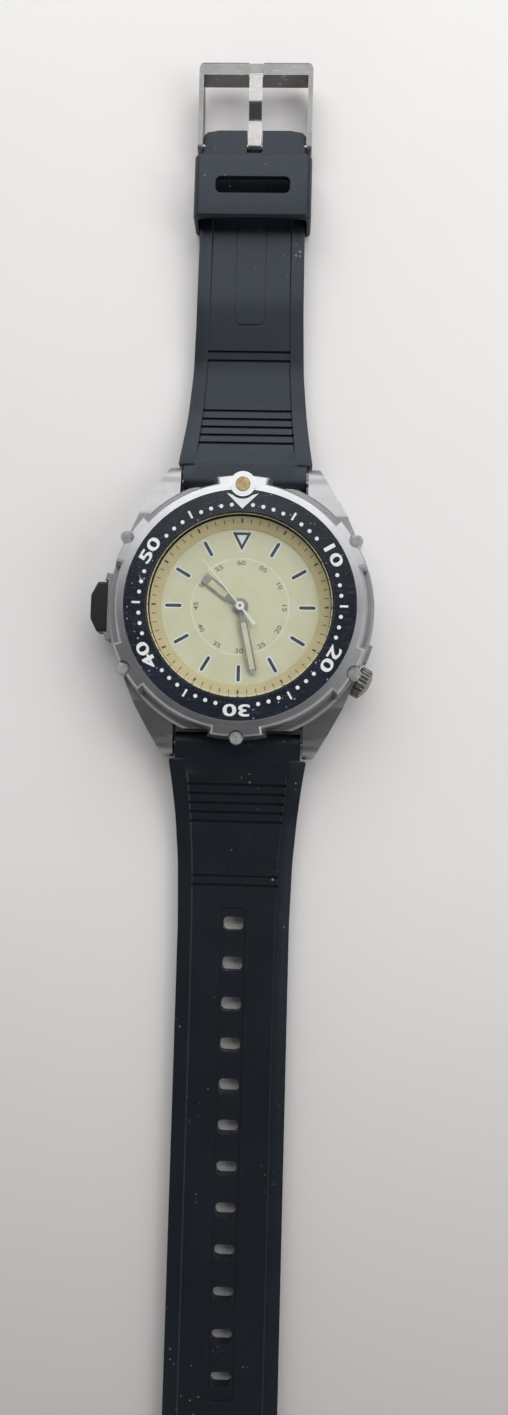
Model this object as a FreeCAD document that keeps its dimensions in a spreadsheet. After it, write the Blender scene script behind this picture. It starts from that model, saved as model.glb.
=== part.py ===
"""A diver's quartz watch, lying flat with its strap open.

Millimetres. The origin is the centre of the case back's flat outer face. +Z points up through the
glass, +Y to 12 o'clock and +X to 3 o'clock. Every driving size is a cell of the sheet "Sizes".
"""
import FreeCAD, Part
import math
import os
import Sketcher
from FreeCAD import Placement, Rotation, Vector

os.makedirs("parts", exist_ok=True)
doc = FreeCAD.newDocument("DiversWatch")
sheet = doc.addObject("Spreadsheet::Sheet", "Sizes")

# ---------------------------------------------------------------- driving sizes
SIZES = {
    # case
    "case_radius": 21.05, "case_floor": 0.7, "case_deck": 7.6, "case_edge": 0.4,
    "collar_radius": 16.2, "collar_top": 10.0, "cavity_radius": 14.45, "glass_seat": 9.1,
    "back_bore": 15.7, "back_recess": 17.3, "back_plate": 1.2, "back_plug_top": 2.5,
    "back_gap": 0.1, "side_band_reach": 22.05, "side_band_half_angle": 14.0,
    "guard_reach": 21.65, "guard_half_angle": 3.5, "guard_offset": 11.5,
    # lugs and spring bars
    "lug_gap": 20.6, "lug_tip_wall": 1.6, "lug_shoulder_height": 7.25, "bar_place": 21.3,
    "bar_height": 3.4, "lug_round": 2.2, "bar_radius": 0.85, "bar_tip_radius": 0.4,
    "gap_depth": 19.2,
    # glass and its seal
    "glass_radius": 14.4, "glass_low": 9.3, "glass_top": 11.0, "seal_wall": 0.45,
    "seal_foot": 0.3,
    # bezel
    "bezel_low": 7.85, "bezel_top": 10.8, "bezel_running_gap": 0.08, "bezel_foot": 20.0,
    "bezel_rim": 19.45, "bezel_ledge": 10.08, "insert_radius": 18.05, "insert_hole": 14.65,
    "insert_floor": 10.35, "insert_top": 10.72, "insert_gap": 0.06,
    "lobe_root": 18.6, "lobe_foot_reach": 20.9, "lobe_top_reach": 20.5,
    "lobe_foot_half_angle": 13.0, "lobe_top_half_angle": 11.3, "lobe_edge": 0.25,
    "stud_place": 20.65, "stud_radius": 1.05, "stud_top": 10.25, "notch_radius": 1.2,
    "notch_floor": 9.7, "pip_place": 18.95, "pip_boss_radius": 2.0, "pip_boss_top": 10.95,
    "pip_radius": 1.18, "pip_depth": 0.7, "ratchet_inner": 16.9, "ratchet_outer": 18.8,
    "ratchet_roof": 8.15, "ratchet_depth": 0.3, "ratchet_notches": 60,
    # dial, chapter ring and hands
    "dial_radius": 14.2, "dial_low": 7.6, "dial_top": 8.0, "chapter_inner": 12.4,
    "chapter_inner_top": 8.2, "hour_reach": 7.3, "hour_width": 1.65, "minute_reach": 11.0,
    "minute_width": 1.3, "second_reach": 9.6, "second_tail": 3.7, "hand_thick": 0.14,
    "hour_hand_low": 8.2, "minute_hand_low": 8.55, "second_hand_low": 8.9,
    "hour_angle": 308.0, "minute_angle": 167.5, "second_angle": 320.4,
    # movement
    "plate_radius": 11.4, "plate_low": 5.4, "plate_top": 6.9, "bridge_low": 3.3,
    "bridge_top": 3.65, "cover_low": 1.62, "cover_top": 3.22, "holder_radius": 14.3,
    "holder_hole": 11.5, "pivot_radius": 0.12, "pivot_gap": 0.04, "wheel_thick": 0.2,
    "rotor_level": 3.75, "second_level": 4.1, "third_level": 4.5, "centre_level": 4.95,
    "minute_works_level": 7.0, "hour_works_level": 7.25, "second_module": 0.145,
    "rotor_module": 0.08, "third_module": 0.09, "centre_module": 0.085,
    "minute_module": 0.125, "hour_module": 0.12, "cannon_radius": 0.45,
    "hour_tube_radius": 0.85, "cell_radius": 6.25, "cell_place": 4.6, "cell_gap": 0.1,
    "coil_radius": 0.8, "coil_place": 7.4, "pillar_place": 10.3, "pillar_radius": 0.7,
    # crown and stem
    "crown_angle": 30.0, "crown_height": 4.6, "crown_radius": 2.5, "crown_gap": 0.15,
    "crown_length": 2.0, "crown_dome_height": 0.55, "crown_flutes": 28, "stem_radius": 0.5,
    "tube_radius": 1.3, "tube_step": 1.0, "stem_tip": 6.42,
    "stem_running_gap": 0.07, "setting_wheel_place": 5.6,
    # light button
    "button_play": 0.05, "button_depth": 1.85, "button_bulge": 1.1,
    "button_half_width": 4.05, "button_low": 2.9, "button_top": 6.3, "button_gap": 0.15,
    "button_seat": 20.5, "button_stem_radius": 0.6, "button_stem_end": 13.3,
    # strap
    "strap_thick": 2.4, "strap_barrel": 1.8, "strap_end_play": 0.35, "strap_bore_gap": 0.1,
    "shoulder_place": 23.8, "shoulder_half": 10.9, "strap_half": 8.85, "lift": 1.25,
    "buckle_end": 81.6, "tail_end": 138.0, "strap_end_taper": 0.25, "hole_first": 49.8,
    "hole_pitch": 6.29, "hole_count": 12, "hole_width": 3.2, "hole_length": 2.2,
    # keeper
    "keeper_low": 64.9, "keeper_length": 10.9, "keeper_play": 0.1, "keeper_side": 0.75,
    "keeper_floor": 1.15, "keeper_roof": 5.6, "keeper_top": 6.6, "keeper_slot_width": 12.2,
    "keeper_slot_length": 2.8,
    # buckle
    "buckle_bar_place": 79.2, "buckle_bar_height": 2.45, "buckle_bar_radius": 0.75,
    "buckle_play": 0.15, "buckle_arm": 0.8, "buckle_front_inner": 90.6,
    "buckle_front_outer": 92.95, "tongue_width": 2.15, "tongue_reach": 90.9,
}


class Size:
    """A formula over the sheet's cells, together with the number it stands for."""

    def __init__(self, formula, value):
        self.formula = formula
        self.value = float(value)

    def __add__(self, other):
        other = as_size(other)
        return Size(f"({self.formula} + {other.formula})", self.value + other.value)

    def __sub__(self, other):
        other = as_size(other)
        return Size(f"({self.formula} - {other.formula})", self.value - other.value)

    def __mul__(self, other):
        other = as_size(other)
        return Size(f"({self.formula} * {other.formula})", self.value * other.value)

    def __truediv__(self, other):
        other = as_size(other)
        return Size(f"({self.formula} / {other.formula})", self.value / other.value)

    def __neg__(self):
        return self * -1

    __radd__ = __add__
    __rmul__ = __mul__

    def __rsub__(self, other):
        return as_size(other) - self


def as_size(item):
    """Turn a plain number into a Size, and leave a Size as it is."""
    return item if isinstance(item, Size) else Size(f"({item})", item)


def sine(angle):
    """Sine of an angle in degrees."""
    return Size(f"sin({angle.formula})", math.sin(math.radians(angle.value)))


def cosine(angle):
    """Cosine of an angle in degrees."""
    return Size(f"cos({angle.formula})", math.cos(math.radians(angle.value)))


class Cells:
    """The sheet's cells by alias, so that cell.case_radius is a Size."""

    def __init__(self, values):
        for row, (alias, value) in enumerate(values.items(), start=1):
            sheet.set(f"A{row}", alias)
            sheet.set(f"B{row}", str(value))
            sheet.setAlias(f"B{row}", alias)
            setattr(self, alias, Size(f"Sizes.{alias}", value))
        self.rows = len(values)

    def follow(self, alias, size):
        """Add a cell that is worked out from other cells."""
        self.rows += 1
        sheet.set(f"A{self.rows}", alias)
        sheet.set(f"B{self.rows}", "=" + size.formula.replace("Sizes.", ""))
        sheet.setAlias(f"B{self.rows}", alias)
        setattr(self, alias, Size(f"Sizes.{alias}", size.value))


cell = Cells(SIZES)
cell.follow("crown_inner", cell.case_radius + cell.crown_gap)
cell.follow("crown_face", cell.crown_inner + cell.crown_length)
cell.follow("crown_dome", cell.crown_face + cell.crown_dome_height)
cell.follow("tube_reach", cell.crown_inner + cell.tube_step)
cell.follow("button_inner", cell.case_radius + cell.button_play)
cell.follow("button_shoulder", cell.button_inner + cell.button_depth)
cell.follow("button_face", cell.button_shoulder + cell.button_bulge)
cell.follow("strap_end_half", cell.lug_gap / 2 - cell.strap_end_play)
cell.follow("buckle_end_half", cell.strap_half - cell.strap_end_taper)
cell.follow("keeper_half", cell.strap_half + cell.keeper_play + cell.keeper_side)
cell.follow("buckle_half", cell.buckle_end_half + cell.buckle_play + cell.buckle_arm)
doc.recompute()

nodes = []


# ---------------------------------------------------------------- sketch helpers
def bind(sketch, index, size):
    """Tie one sketch dimension to the sheet; a bare number needs no formula."""
    if "Sizes." in size.formula:
        sketch.setExpression(f"Constraints[{index}]", size.formula)


def fix_point(sketch, geometry, end, x, y):
    """Dimension one point of the sketch from the sketch's origin."""
    numbers = sketch.addConstraint([
        Sketcher.Constraint("DistanceX", -1, 1, geometry, end, x.value),
        Sketcher.Constraint("DistanceY", -1, 1, geometry, end, y.value)])
    bind(sketch, numbers[0], x)
    bind(sketch, numbers[1], y)


def corner_arc(before, corner, after, radius):
    """Entry, exit and arc of a rounded corner, and whether it turns to the left."""
    back = (before - corner).normalize()
    ahead = (after - corner).normalize()
    half = back.getAngle(ahead) / 2
    entry = corner + back * (radius / math.tan(half))
    leave = corner + ahead * (radius / math.tan(half))
    inward = (back + ahead).normalize()
    centre = corner + inward * (radius / math.sin(half))
    middle = centre - inward * radius
    left = (corner - before).cross(after - corner).z > 0
    ends = (entry, leave) if left else (leave, entry)
    return entry, leave, Part.Arc(ends[0], middle, ends[1]), left


def outline(sketch, corners):
    """Draw a closed outline of corners (x, y) or (x, y, rounding radius)."""
    rows = [tuple(as_size(part) for part in corner) for corner in corners]
    points = [Vector(row[0].value, row[1].value, 0) for row in rows]
    count = len(rows)
    turns = []
    for index, row in enumerate(rows):
        if len(row) == 3:
            near = points[index - 1]
            far = points[(index + 1) % count]
            turns.append(corner_arc(near, points[index], far, row[2].value))
        else:
            turns.append((points[index], points[index], None, True))
    start = sketch.GeometryCount
    for index in range(count):
        line = Part.LineSegment(turns[index][1], turns[(index + 1) % count][0])
        sketch.addGeometry(line, False)
    for index, row in enumerate(rows):
        line_in = start + (index - 1) % count
        line_out = start + index
        if turns[index][2] is None:
            sketch.addConstraint(Sketcher.Constraint("Coincident", line_in, 2, line_out, 1))
            fix_point(sketch, line_out, 1, row[0], row[1])
            continue
        arc = sketch.addGeometry(turns[index][2], False)
        point = sketch.addGeometry(Part.Point(points[index]), True)
        arc_in, arc_out = (1, 2) if turns[index][3] else (2, 1)
        numbers = sketch.addConstraint([
            Sketcher.Constraint("Tangent", line_in, 2, arc, arc_in),
            Sketcher.Constraint("Tangent", arc, arc_out, line_out, 1),
            Sketcher.Constraint("PointOnObject", point, 1, line_in),
            Sketcher.Constraint("PointOnObject", point, 1, line_out),
            Sketcher.Constraint("Radius", arc, row[2].value)])
        bind(sketch, numbers[4], row[2])
        fix_point(sketch, point, 1, row[0], row[1])


def rectangle(sketch, x_low, x_high, y_low, y_high):
    """Draw a rectangle with square corners."""
    outline(sketch, [(x_low, y_low), (x_high, y_low), (x_high, y_high), (x_low, y_high)])


def circle(sketch, x, y, radius):
    """Draw a circle whose centre and radius follow the sheet."""
    x, y, radius = as_size(x), as_size(y), as_size(radius)
    shape = Part.Circle(Vector(x.value, y.value, 0), Vector(0, 0, 1), radius.value)
    number = sketch.addGeometry(shape, False)
    bind(sketch, sketch.addConstraint(Sketcher.Constraint("Radius", number, radius.value)), radius)
    fix_point(sketch, number, 3, x, y)


def sector(sketch, inner, outer, half_angle, middle_deg=90.0):
    """Draw a ring sector about the origin, its middle in the direction middle_deg."""
    inner, outer, half_angle = as_size(inner), as_size(outer), as_size(half_angle)
    low = math.radians(middle_deg - half_angle.value)
    high = math.radians(middle_deg + half_angle.value)
    centre, up = Vector(0, 0, 0), Vector(0, 0, 1)
    first = sketch.addGeometry([
        Part.ArcOfCircle(Part.Circle(centre, up, outer.value), low, high),
        Part.ArcOfCircle(Part.Circle(centre, up, inner.value), low, high)], False)[0]
    ends = []
    for turn in (low, high):
        way = Vector(math.cos(turn), math.sin(turn), 0)
        line = Part.LineSegment(way * inner.value, way * outer.value)
        ends.append(sketch.addGeometry(line, False))
    numbers = sketch.addConstraint([
        Sketcher.Constraint("Coincident", first, 3, -1, 1),
        Sketcher.Constraint("Coincident", first + 1, 3, -1, 1),
        Sketcher.Constraint("Coincident", ends[0], 1, first + 1, 1),
        Sketcher.Constraint("Coincident", ends[0], 2, first, 1),
        Sketcher.Constraint("Coincident", ends[1], 1, first + 1, 2),
        Sketcher.Constraint("Coincident", ends[1], 2, first, 2),
        Sketcher.Constraint("Radius", first, outer.value),
        Sketcher.Constraint("Radius", first + 1, inner.value)])
    bind(sketch, numbers[6], outer)
    bind(sketch, numbers[7], inner)
    upright = abs(math.sin(math.radians(middle_deg))) > 0.5
    axis = "DistanceX" if upright else "DistanceY"
    for number, end, radius, side in ((first, 1, outer, -1), (first, 2, outer, 1),
                                      (first + 1, 1, inner, -1), (first + 1, 2, inner, 1)):
        turn = half_angle * side + middle_deg
        reach = radius * (cosine(turn) if upright else sine(turn))
        index = sketch.addConstraint(Sketcher.Constraint(axis, -1, 1, number, end, reach.value))
        bind(sketch, index, reach)


# ---------------------------------------------------------------- one sub-part
class Piece:
    """A sub-part made as a PartDesign body."""

    def __init__(self, label):
        self.body = doc.addObject("PartDesign::Body", label)
        self.body.Label = label
        nodes.append(self.body)

    def origin(self, role):
        return next(item for item in self.body.Origin.OriginFeatures if item.Role == role)

    def sketch(self, plane="XY", lift=0):
        """Add a sketch on an origin plane, moved along the plane's normal by lift."""
        lift = as_size(lift)
        sketch = self.body.newObject("Sketcher::SketchObject", f"{self.body.Label}_sketch")
        sketch.AttachmentSupport = (self.origin(f"{plane}_Plane"), [""])
        sketch.MapMode = "FlatFace"
        sketch.AttachmentOffset = Placement(Vector(0, 0, lift.value), Rotation())
        if "Sizes." in lift.formula:
            sketch.setExpression("AttachmentOffset.Base.z", lift.formula)
        return sketch

    def feature(self, kind, sketch):
        feature = self.body.newObject(f"PartDesign::{kind}", f"{self.body.Label}_{kind}")
        feature.Profile = (sketch, [""])
        return feature

    def pad(self, sketch, length, both_ways=False):
        length = as_size(length)
        pad = self.feature("Pad", sketch)
        pad.SideType = "Symmetric" if both_ways else "One side"
        pad.Length = length.value
        if "Sizes." in length.formula:
            pad.setExpression("Length", length.formula)
        return pad

    def pocket(self, sketch, length, both_ways=False, along_normal=False):
        """Cut against the sketch's normal, along it, or both ways."""
        length = as_size(length)
        pocket = self.feature("Pocket", sketch)
        pocket.SideType = "Symmetric" if both_ways else "One side"
        pocket.Reversed = along_normal
        pocket.Length = length.value
        if "Sizes." in length.formula:
            pocket.setExpression("Length", length.formula)
        return pocket

    def turn(self, corners, kind="Revolution", plane="XZ", axis="V_Axis"):
        """Turn a profile of (radius, height) corners about the sketch's own axis."""
        sketch = self.sketch(plane)
        outline(sketch, corners)
        turned = self.feature(kind, sketch)
        turned.ReferenceAxis = (sketch, [axis])
        turned.Angle = 360
        return turned

    def round_pattern(self, features, count, axis="Z_Axis", angle=360):
        pattern = self.body.newObject("PartDesign::PolarPattern", f"{self.body.Label}_pattern")
        pattern.Originals = features
        pattern.Axis = (self.origin(axis), [""])
        pattern.Angle = angle
        pattern.Occurrences = count
        self.body.Tip = pattern
        return pattern

    def row_pattern(self, features, count, length, axis="Y_Axis", backwards=False):
        pattern = self.body.newObject("PartDesign::LinearPattern", f"{self.body.Label}_row")
        pattern.Originals = features
        pattern.Direction = (self.origin(axis), [""])
        pattern.Reversed = backwards
        pattern.Length = length.value
        pattern.setExpression("Length", length.formula)
        pattern.Occurrences = count
        self.body.Tip = pattern
        return pattern

    def round_edges(self, radius, wanted, kind="Fillet"):
        """Round or bevel the edges of the present solid that wanted(edge) picks."""
        doc.recompute()
        base = self.body.Tip
        names = [f"Edge{number}" for number, edge in enumerate(base.Shape.Edges, start=1)
                 if wanted(edge)]
        edge_feature = self.body.newObject(f"PartDesign::{kind}", f"{self.body.Label}_{kind}")
        edge_feature.Base = (base, names)
        if kind == "Fillet":
            edge_feature.Radius = radius
        else:
            edge_feature.Size = radius
        self.body.Tip = edge_feature
        return edge_feature


def plain_ring(label, outer, inner, low, high):
    """A flat ring, or a disc when inner is None, between two heights."""
    piece = Piece(label)
    sketch = piece.sketch("XY", low)
    circle(sketch, 0, 0, outer)
    if inner is not None:
        circle(sketch, 0, 0, inner)
    piece.pad(sketch, as_size(high) - low)
    return piece


def computed(label, shape):
    """A sub-part whose shape is worked out with Part's own functions from the sheet."""
    feature = doc.addObject("Part::Feature", label)
    feature.Label = label
    feature.Shape = shape
    nodes.append(feature)
    return feature


def upright(radius, low, high, x=0.0, y=0.0):
    """A vertical cylinder as a plain shape."""
    return Part.makeCylinder(radius, high - low, Vector(x, y, low))


def lying(radius, start, end, y=0.0, z=0.0):
    """A cylinder along X as a plain shape."""
    return Part.makeCylinder(radius, end - start, Vector(start, y, z), Vector(1, 0, 0))


# ---------------------------------------------------------------- case
def make_case_middle():
    """Bead-blasted case: a turned body with four lugs, a collar for the bezel and side bands."""
    piece = Piece("case_middle")
    lug_inner = cell.lug_gap / 2
    tip = cell.bar_place + cell.lug_round
    lugs = piece.sketch("XY", cell.case_floor)
    for side_x in (1, -1):
        for side_y in (1, -1):
            outline(lugs, [(side_x * lug_inner, side_y * 15.2), (side_x * lug_inner, side_y * tip),
                           (side_x * (lug_inner + cell.lug_tip_wall), side_y * tip, 0.5),
                           (side_x * 14.2, side_y * 19.6, 3), (side_x * 16.4, side_y * 15.5, 3),
                           (side_x * 18.3, side_y * 11.0), (side_x * 15.7, side_y * 9.4)])
    piece.pad(lugs, cell.lug_shoulder_height - cell.case_floor)

    trim = piece.sketch("YZ", 0)
    rectangle(trim, -40, 40, -10, 20)
    top = cell.bar_height + cell.lug_round
    low = cell.bar_height - cell.lug_round
    rounding = cell.lug_round * 0.99
    outline(trim, [(-tip, low, rounding), (-10, cell.case_floor - 0.2), (10, cell.case_floor - 0.2),
                   (tip, low, rounding), (tip, top, rounding),
                   (cell.bar_place - 1, top + 0.2, 3), (15.2, cell.lug_shoulder_height, 2),
                   (0, cell.lug_shoulder_height + 0.1), (-15.2, cell.lug_shoulder_height, 2),
                   (1 - cell.bar_place, top + 0.2, 3), (-tip, top, rounding)])
    piece.pocket(trim, 60, both_ways=True)

    edge = cell.case_edge
    piece.turn([(cell.cavity_radius, cell.back_plug_top + 0.1),
                (cell.back_bore, cell.back_plug_top + 0.1),
                (cell.back_bore, cell.back_plate + 0.3),
                (cell.back_recess, cell.back_plate + 0.3), (cell.back_recess, cell.case_floor),
                (cell.case_radius - 1.6, cell.case_floor),
                (cell.case_radius, cell.case_floor + 1.8),
                (cell.case_radius, cell.case_deck - edge),
                (cell.case_radius - edge, cell.case_deck), (cell.collar_radius, cell.case_deck),
                (cell.collar_radius, cell.collar_top - 0.2),
                (cell.collar_radius - 0.2, cell.collar_top),
                (cell.glass_radius + cell.seal_wall, cell.collar_top),
                (cell.glass_radius + cell.seal_wall, cell.glass_seat),
                (cell.cavity_radius, cell.glass_seat)])

    band_low, band_high = 2.2, 6.95
    band = piece.sketch("XY", band_low)
    sector(band, 19, cell.side_band_reach, cell.side_band_half_angle, middle_deg=180)
    piece.pad(band, band_high - band_low)
    for side in (1, -1):
        guard = piece.sketch("XY", band_low)
        middle = -cell.crown_angle.value + side * cell.guard_offset.value
        inner, outer = 19.0, cell.guard_reach.value
        half = cell.guard_half_angle.value
        corners = []
        for radius, offset in ((inner, -half - 2), (outer, -half), (outer, half),
                               (inner, half + 2)):
            turn = math.radians(middle + offset)
            corners.append((radius * math.cos(turn), radius * math.sin(turn)))
        outline(guard, corners)
        piece.pad(guard, band_high - band_low)

    flat = piece.sketch("XY", cell.case_deck + 1)
    window = cell.button_half_width + cell.button_gap
    rectangle(flat, -30, -(cell.case_radius + 0.1), -window, window)
    piece.pocket(flat, 12)
    seat = piece.sketch("XY", cell.button_top + cell.button_gap)
    rectangle(seat, -30, -cell.button_seat, -window, window)
    piece.pocket(seat, cell.button_top - cell.button_low + 2 * cell.button_gap)

    for side in (1, -1):
        gap = piece.sketch("XY", cell.case_deck + 1)
        rectangle(gap, -lug_inner, lug_inner, side * cell.gap_depth, side * 30)
        piece.pocket(gap, 12)
        pins = piece.sketch("YZ", 0)
        circle(pins, side * cell.bar_place, cell.bar_height, cell.bar_tip_radius)
        piece.pocket(pins, cell.lug_gap + 1.8, both_ways=True)

    shaft = piece.sketch("YZ", -cell.cavity_radius + 1)
    circle(shaft, 0, cell.crown_height, cell.button_stem_radius + cell.stem_running_gap)
    piece.pocket(shaft, 10)
    gasket_seat = piece.sketch("YZ", -cell.button_seat + 0.8)
    circle(gasket_seat, 0, cell.crown_height, cell.button_stem_radius + 0.5)
    piece.pocket(gasket_seat, 5)

    doc.recompute()
    tube_hole = crown_axis_cylinder("crown_tube_hole", cell.tube_radius, 12.0, 12.0)
    crown_seat = crown_axis_cylinder("crown_seat", cell.crown_radius + 0.2,
                                     cell.crown_inner.value - 0.1, 8.0)
    tools = doc.addObject("Part::MultiFuse", "crown_cuts")
    tools.Shapes = [tube_hole, crown_seat]
    case = doc.addObject("Part::Cut", "case_middle_bored")
    case.Base = piece.body
    case.Tool = tools
    piece.body.Label = "case_middle_blank"
    nodes.remove(piece.body)
    case.Label = "case_middle"
    nodes.append(case)


def crown_axis_cylinder(name, radius, start, length):
    """A cylinder that runs outwards along the crown's axis from the distance start."""
    item = doc.addObject("Part::Cylinder", name)
    item.setExpression("Radius", radius.formula)
    item.Height = length
    turn = Rotation(Vector(0, 0, 1), -cell.crown_angle.value)
    outward = turn.multVec(Vector(start, 0, cell.crown_height.value))
    item.Placement = Placement(outward, turn.multiply(Rotation(Vector(0, 1, 0), 90)))
    return item


def make_case_back():
    """Screwed back: outer plate with six key notches, and a threaded plug ring."""
    piece = Piece("case_back")
    plate = cell.back_recess - cell.back_gap
    plug = cell.back_bore - cell.back_gap
    piece.turn([(0, 0), (plate - 0.5, 0), (plate, 0.5), (plate, cell.back_plate),
                (plug, cell.back_plate), (plug, cell.back_plug_top),
                (plug - 0.9, cell.back_plug_top), (plug - 0.9, cell.back_plate),
                (0, cell.back_plate)])
    notch = piece.sketch("XY", 0)
    rectangle(notch, -1, 1, plate - 1.6, plate + 1)
    cut = piece.pocket(notch, 0.6, along_normal=True)
    piece.round_pattern([cut], 6)


def make_seals():
    """Flat gasket under the case back and L-shaped gasket round the glass."""
    plain_ring("case_back_gasket", cell.back_recess - 0.2, cell.back_bore + 0.05,
               cell.back_plate, cell.back_plate + 0.3)
    wall = cell.glass_radius + cell.seal_wall
    Piece("glass_gasket").turn([
        (cell.glass_radius - cell.seal_foot, cell.glass_seat), (wall, cell.glass_seat),
        (wall, cell.collar_top - 0.05), (cell.glass_radius, cell.collar_top - 0.05),
        (cell.glass_radius, cell.glass_low), (cell.glass_radius - cell.seal_foot, cell.glass_low)])


def make_glass():
    """Flat mineral glass with a bevelled upper edge."""
    Piece("crystal").turn([(0, cell.glass_low), (cell.glass_radius, cell.glass_low),
                           (cell.glass_radius, cell.glass_top - 0.25),
                           (cell.glass_radius - 0.25, cell.glass_top), (0, cell.glass_top)])


def make_bezel():
    """Turning bezel: a ring with six grip lobes, five set studs and a boss for the pip."""
    piece = Piece("bezel_ring")
    bore = cell.collar_radius + cell.bezel_running_gap
    lip = cell.insert_radius + cell.insert_gap
    piece.turn([(bore, cell.bezel_low), (cell.ratchet_inner, cell.bezel_low),
                (cell.ratchet_inner, cell.ratchet_roof), (cell.ratchet_outer, cell.ratchet_roof),
                (cell.ratchet_outer, cell.bezel_low), (cell.bezel_foot - 0.2, cell.bezel_low),
                (cell.bezel_foot, cell.bezel_low + 0.2), (cell.bezel_foot - 0.1, 8.9),
                (cell.bezel_rim, cell.bezel_top - 0.3), (cell.bezel_rim - 0.3, cell.bezel_top),
                (lip, cell.bezel_top), (lip, cell.insert_floor),
                (cell.insert_hole, cell.insert_floor), (cell.insert_hole, cell.bezel_ledge),
                (bore, cell.bezel_ledge)])
    foot = piece.sketch("XY", cell.bezel_low)
    sector(foot, cell.lobe_root, cell.lobe_foot_reach, cell.lobe_foot_half_angle)
    shoulder = piece.sketch("XY", cell.bezel_top - cell.lobe_edge)
    sector(shoulder, cell.lobe_root, cell.lobe_top_reach, cell.lobe_top_half_angle)
    crest = piece.sketch("XY", cell.bezel_top)
    sector(crest, cell.lobe_root, cell.lobe_top_reach - cell.lobe_edge,
           cell.lobe_top_half_angle - 0.8)
    lobe = piece.feature("AdditiveLoft", foot)
    lobe.Sections = [(shoulder, [""]), (crest, [""])]
    lobe.Ruled = True
    piece.round_pattern([lobe], 6)

    notch_turn = as_size(60)
    place_x = cell.stud_place * sine(notch_turn)
    place_y = cell.stud_place * cosine(notch_turn)
    notch = piece.sketch("XY", cell.bezel_top + 0.1)
    circle(notch, place_x, place_y, cell.notch_radius)
    notch_cut = piece.pocket(notch, cell.bezel_top + 0.1 - cell.notch_floor)
    piece.round_pattern([notch_cut], 5, angle=-240)
    stud = piece.sketch("XY", cell.bezel_low + 0.3)
    circle(stud, place_x, place_y, cell.stud_radius)
    stud_pad = piece.pad(stud, cell.stud_top - cell.bezel_low - 0.3)
    piece.round_pattern([stud_pad], 5, angle=-240)

    boss = piece.sketch("XY", cell.bezel_low + 0.3)
    circle(boss, 0, cell.pip_place, cell.pip_boss_radius)
    piece.pad(boss, cell.pip_boss_top - cell.bezel_low - 0.3)
    socket = piece.sketch("XY", cell.pip_boss_top)
    circle(socket, 0, cell.pip_place, cell.pip_radius)
    piece.pocket(socket, cell.pip_depth)
    under = piece.sketch("XY", cell.bezel_low - 1)
    circle(under, 0, 0, cell.ratchet_outer)
    circle(under, 0, 0, cell.ratchet_inner)
    piece.pocket(under, cell.ratchet_roof - cell.bezel_low + 1, along_normal=True)
    tooth = piece.sketch("XY", cell.ratchet_roof)
    outline(tooth, [(-0.35, cell.ratchet_inner + 0.2), (0.35, cell.ratchet_inner + 0.2),
                    (0.35, cell.ratchet_outer - 0.2), (-0.35, cell.ratchet_outer - 0.2)])
    tooth_cut = piece.pocket(tooth, cell.ratchet_depth, along_normal=True)
    piece.round_pattern([tooth_cut], int(cell.ratchet_notches.value))


def make_bezel_trim():
    """Printed insert ring with a bite for the pip's boss, and the pip itself."""
    insert = Piece("bezel_insert")
    sketch = insert.sketch("XY", cell.insert_floor)
    circle(sketch, 0, 0, cell.insert_radius)
    circle(sketch, 0, 0, cell.insert_hole)
    insert.pad(sketch, cell.insert_top - cell.insert_floor)
    bite = insert.sketch("XY", cell.insert_top + 0.1)
    circle(bite, 0, cell.pip_place, cell.pip_boss_radius + cell.insert_gap)
    insert.pocket(bite, 1)

    pip = Piece("bezel_pip")
    base = pip.sketch("XY", cell.pip_boss_top - cell.pip_depth)
    circle(base, 0, cell.pip_place, cell.pip_radius)
    pip.pad(base, cell.pip_depth + 0.15)
    pip.round_edges(0.14, lambda edge: edge.CenterOfMass.z > cell.pip_boss_top.value)


def make_bezel_holding():
    """Click spring on the deck, with three fingers that reach up to the bezel's ratchet."""
    spring = plain_ring("bezel_click_spring", cell.ratchet_outer - 0.15, cell.ratchet_inner + 0.1,
                        cell.case_deck, cell.case_deck + 0.12)
    finger = spring.sketch("XY", cell.case_deck)
    rectangle(finger, -0.25, 0.25, cell.ratchet_inner + 0.3, cell.ratchet_outer - 0.4)
    tip = spring.pad(finger, cell.ratchet_roof - cell.case_deck - 0.07)
    spring.round_pattern([tip], 3)


# ---------------------------------------------------------------- dial and hands
def make_dial():
    """Dial, the lamp panel under it and the sloped chapter ring over its rim."""
    plain_ring("dial", cell.dial_radius, cell.hour_tube_radius + 0.15, cell.dial_low,
               cell.dial_top)
    plain_ring("dial_lamp_panel", cell.dial_radius - 0.6, cell.hour_tube_radius + 0.3,
               cell.dial_low - 0.15, cell.dial_low)
    Piece("chapter_ring").turn([
        (cell.chapter_inner, cell.dial_top), (cell.cavity_radius - 0.05, cell.dial_top),
        (cell.cavity_radius - 0.05, cell.glass_seat - 0.05),
        (cell.cavity_radius - 0.35, cell.glass_seat - 0.05),
        (cell.chapter_inner, cell.chapter_inner_top)])


def turn_hand(piece, angle):
    """Point a hand made towards 12 o'clock at its clockwise angle on the dial."""
    piece.body.Placement = Placement(Vector(0, 0, 0), Rotation(Vector(0, 0, 1), -angle.value))


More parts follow.
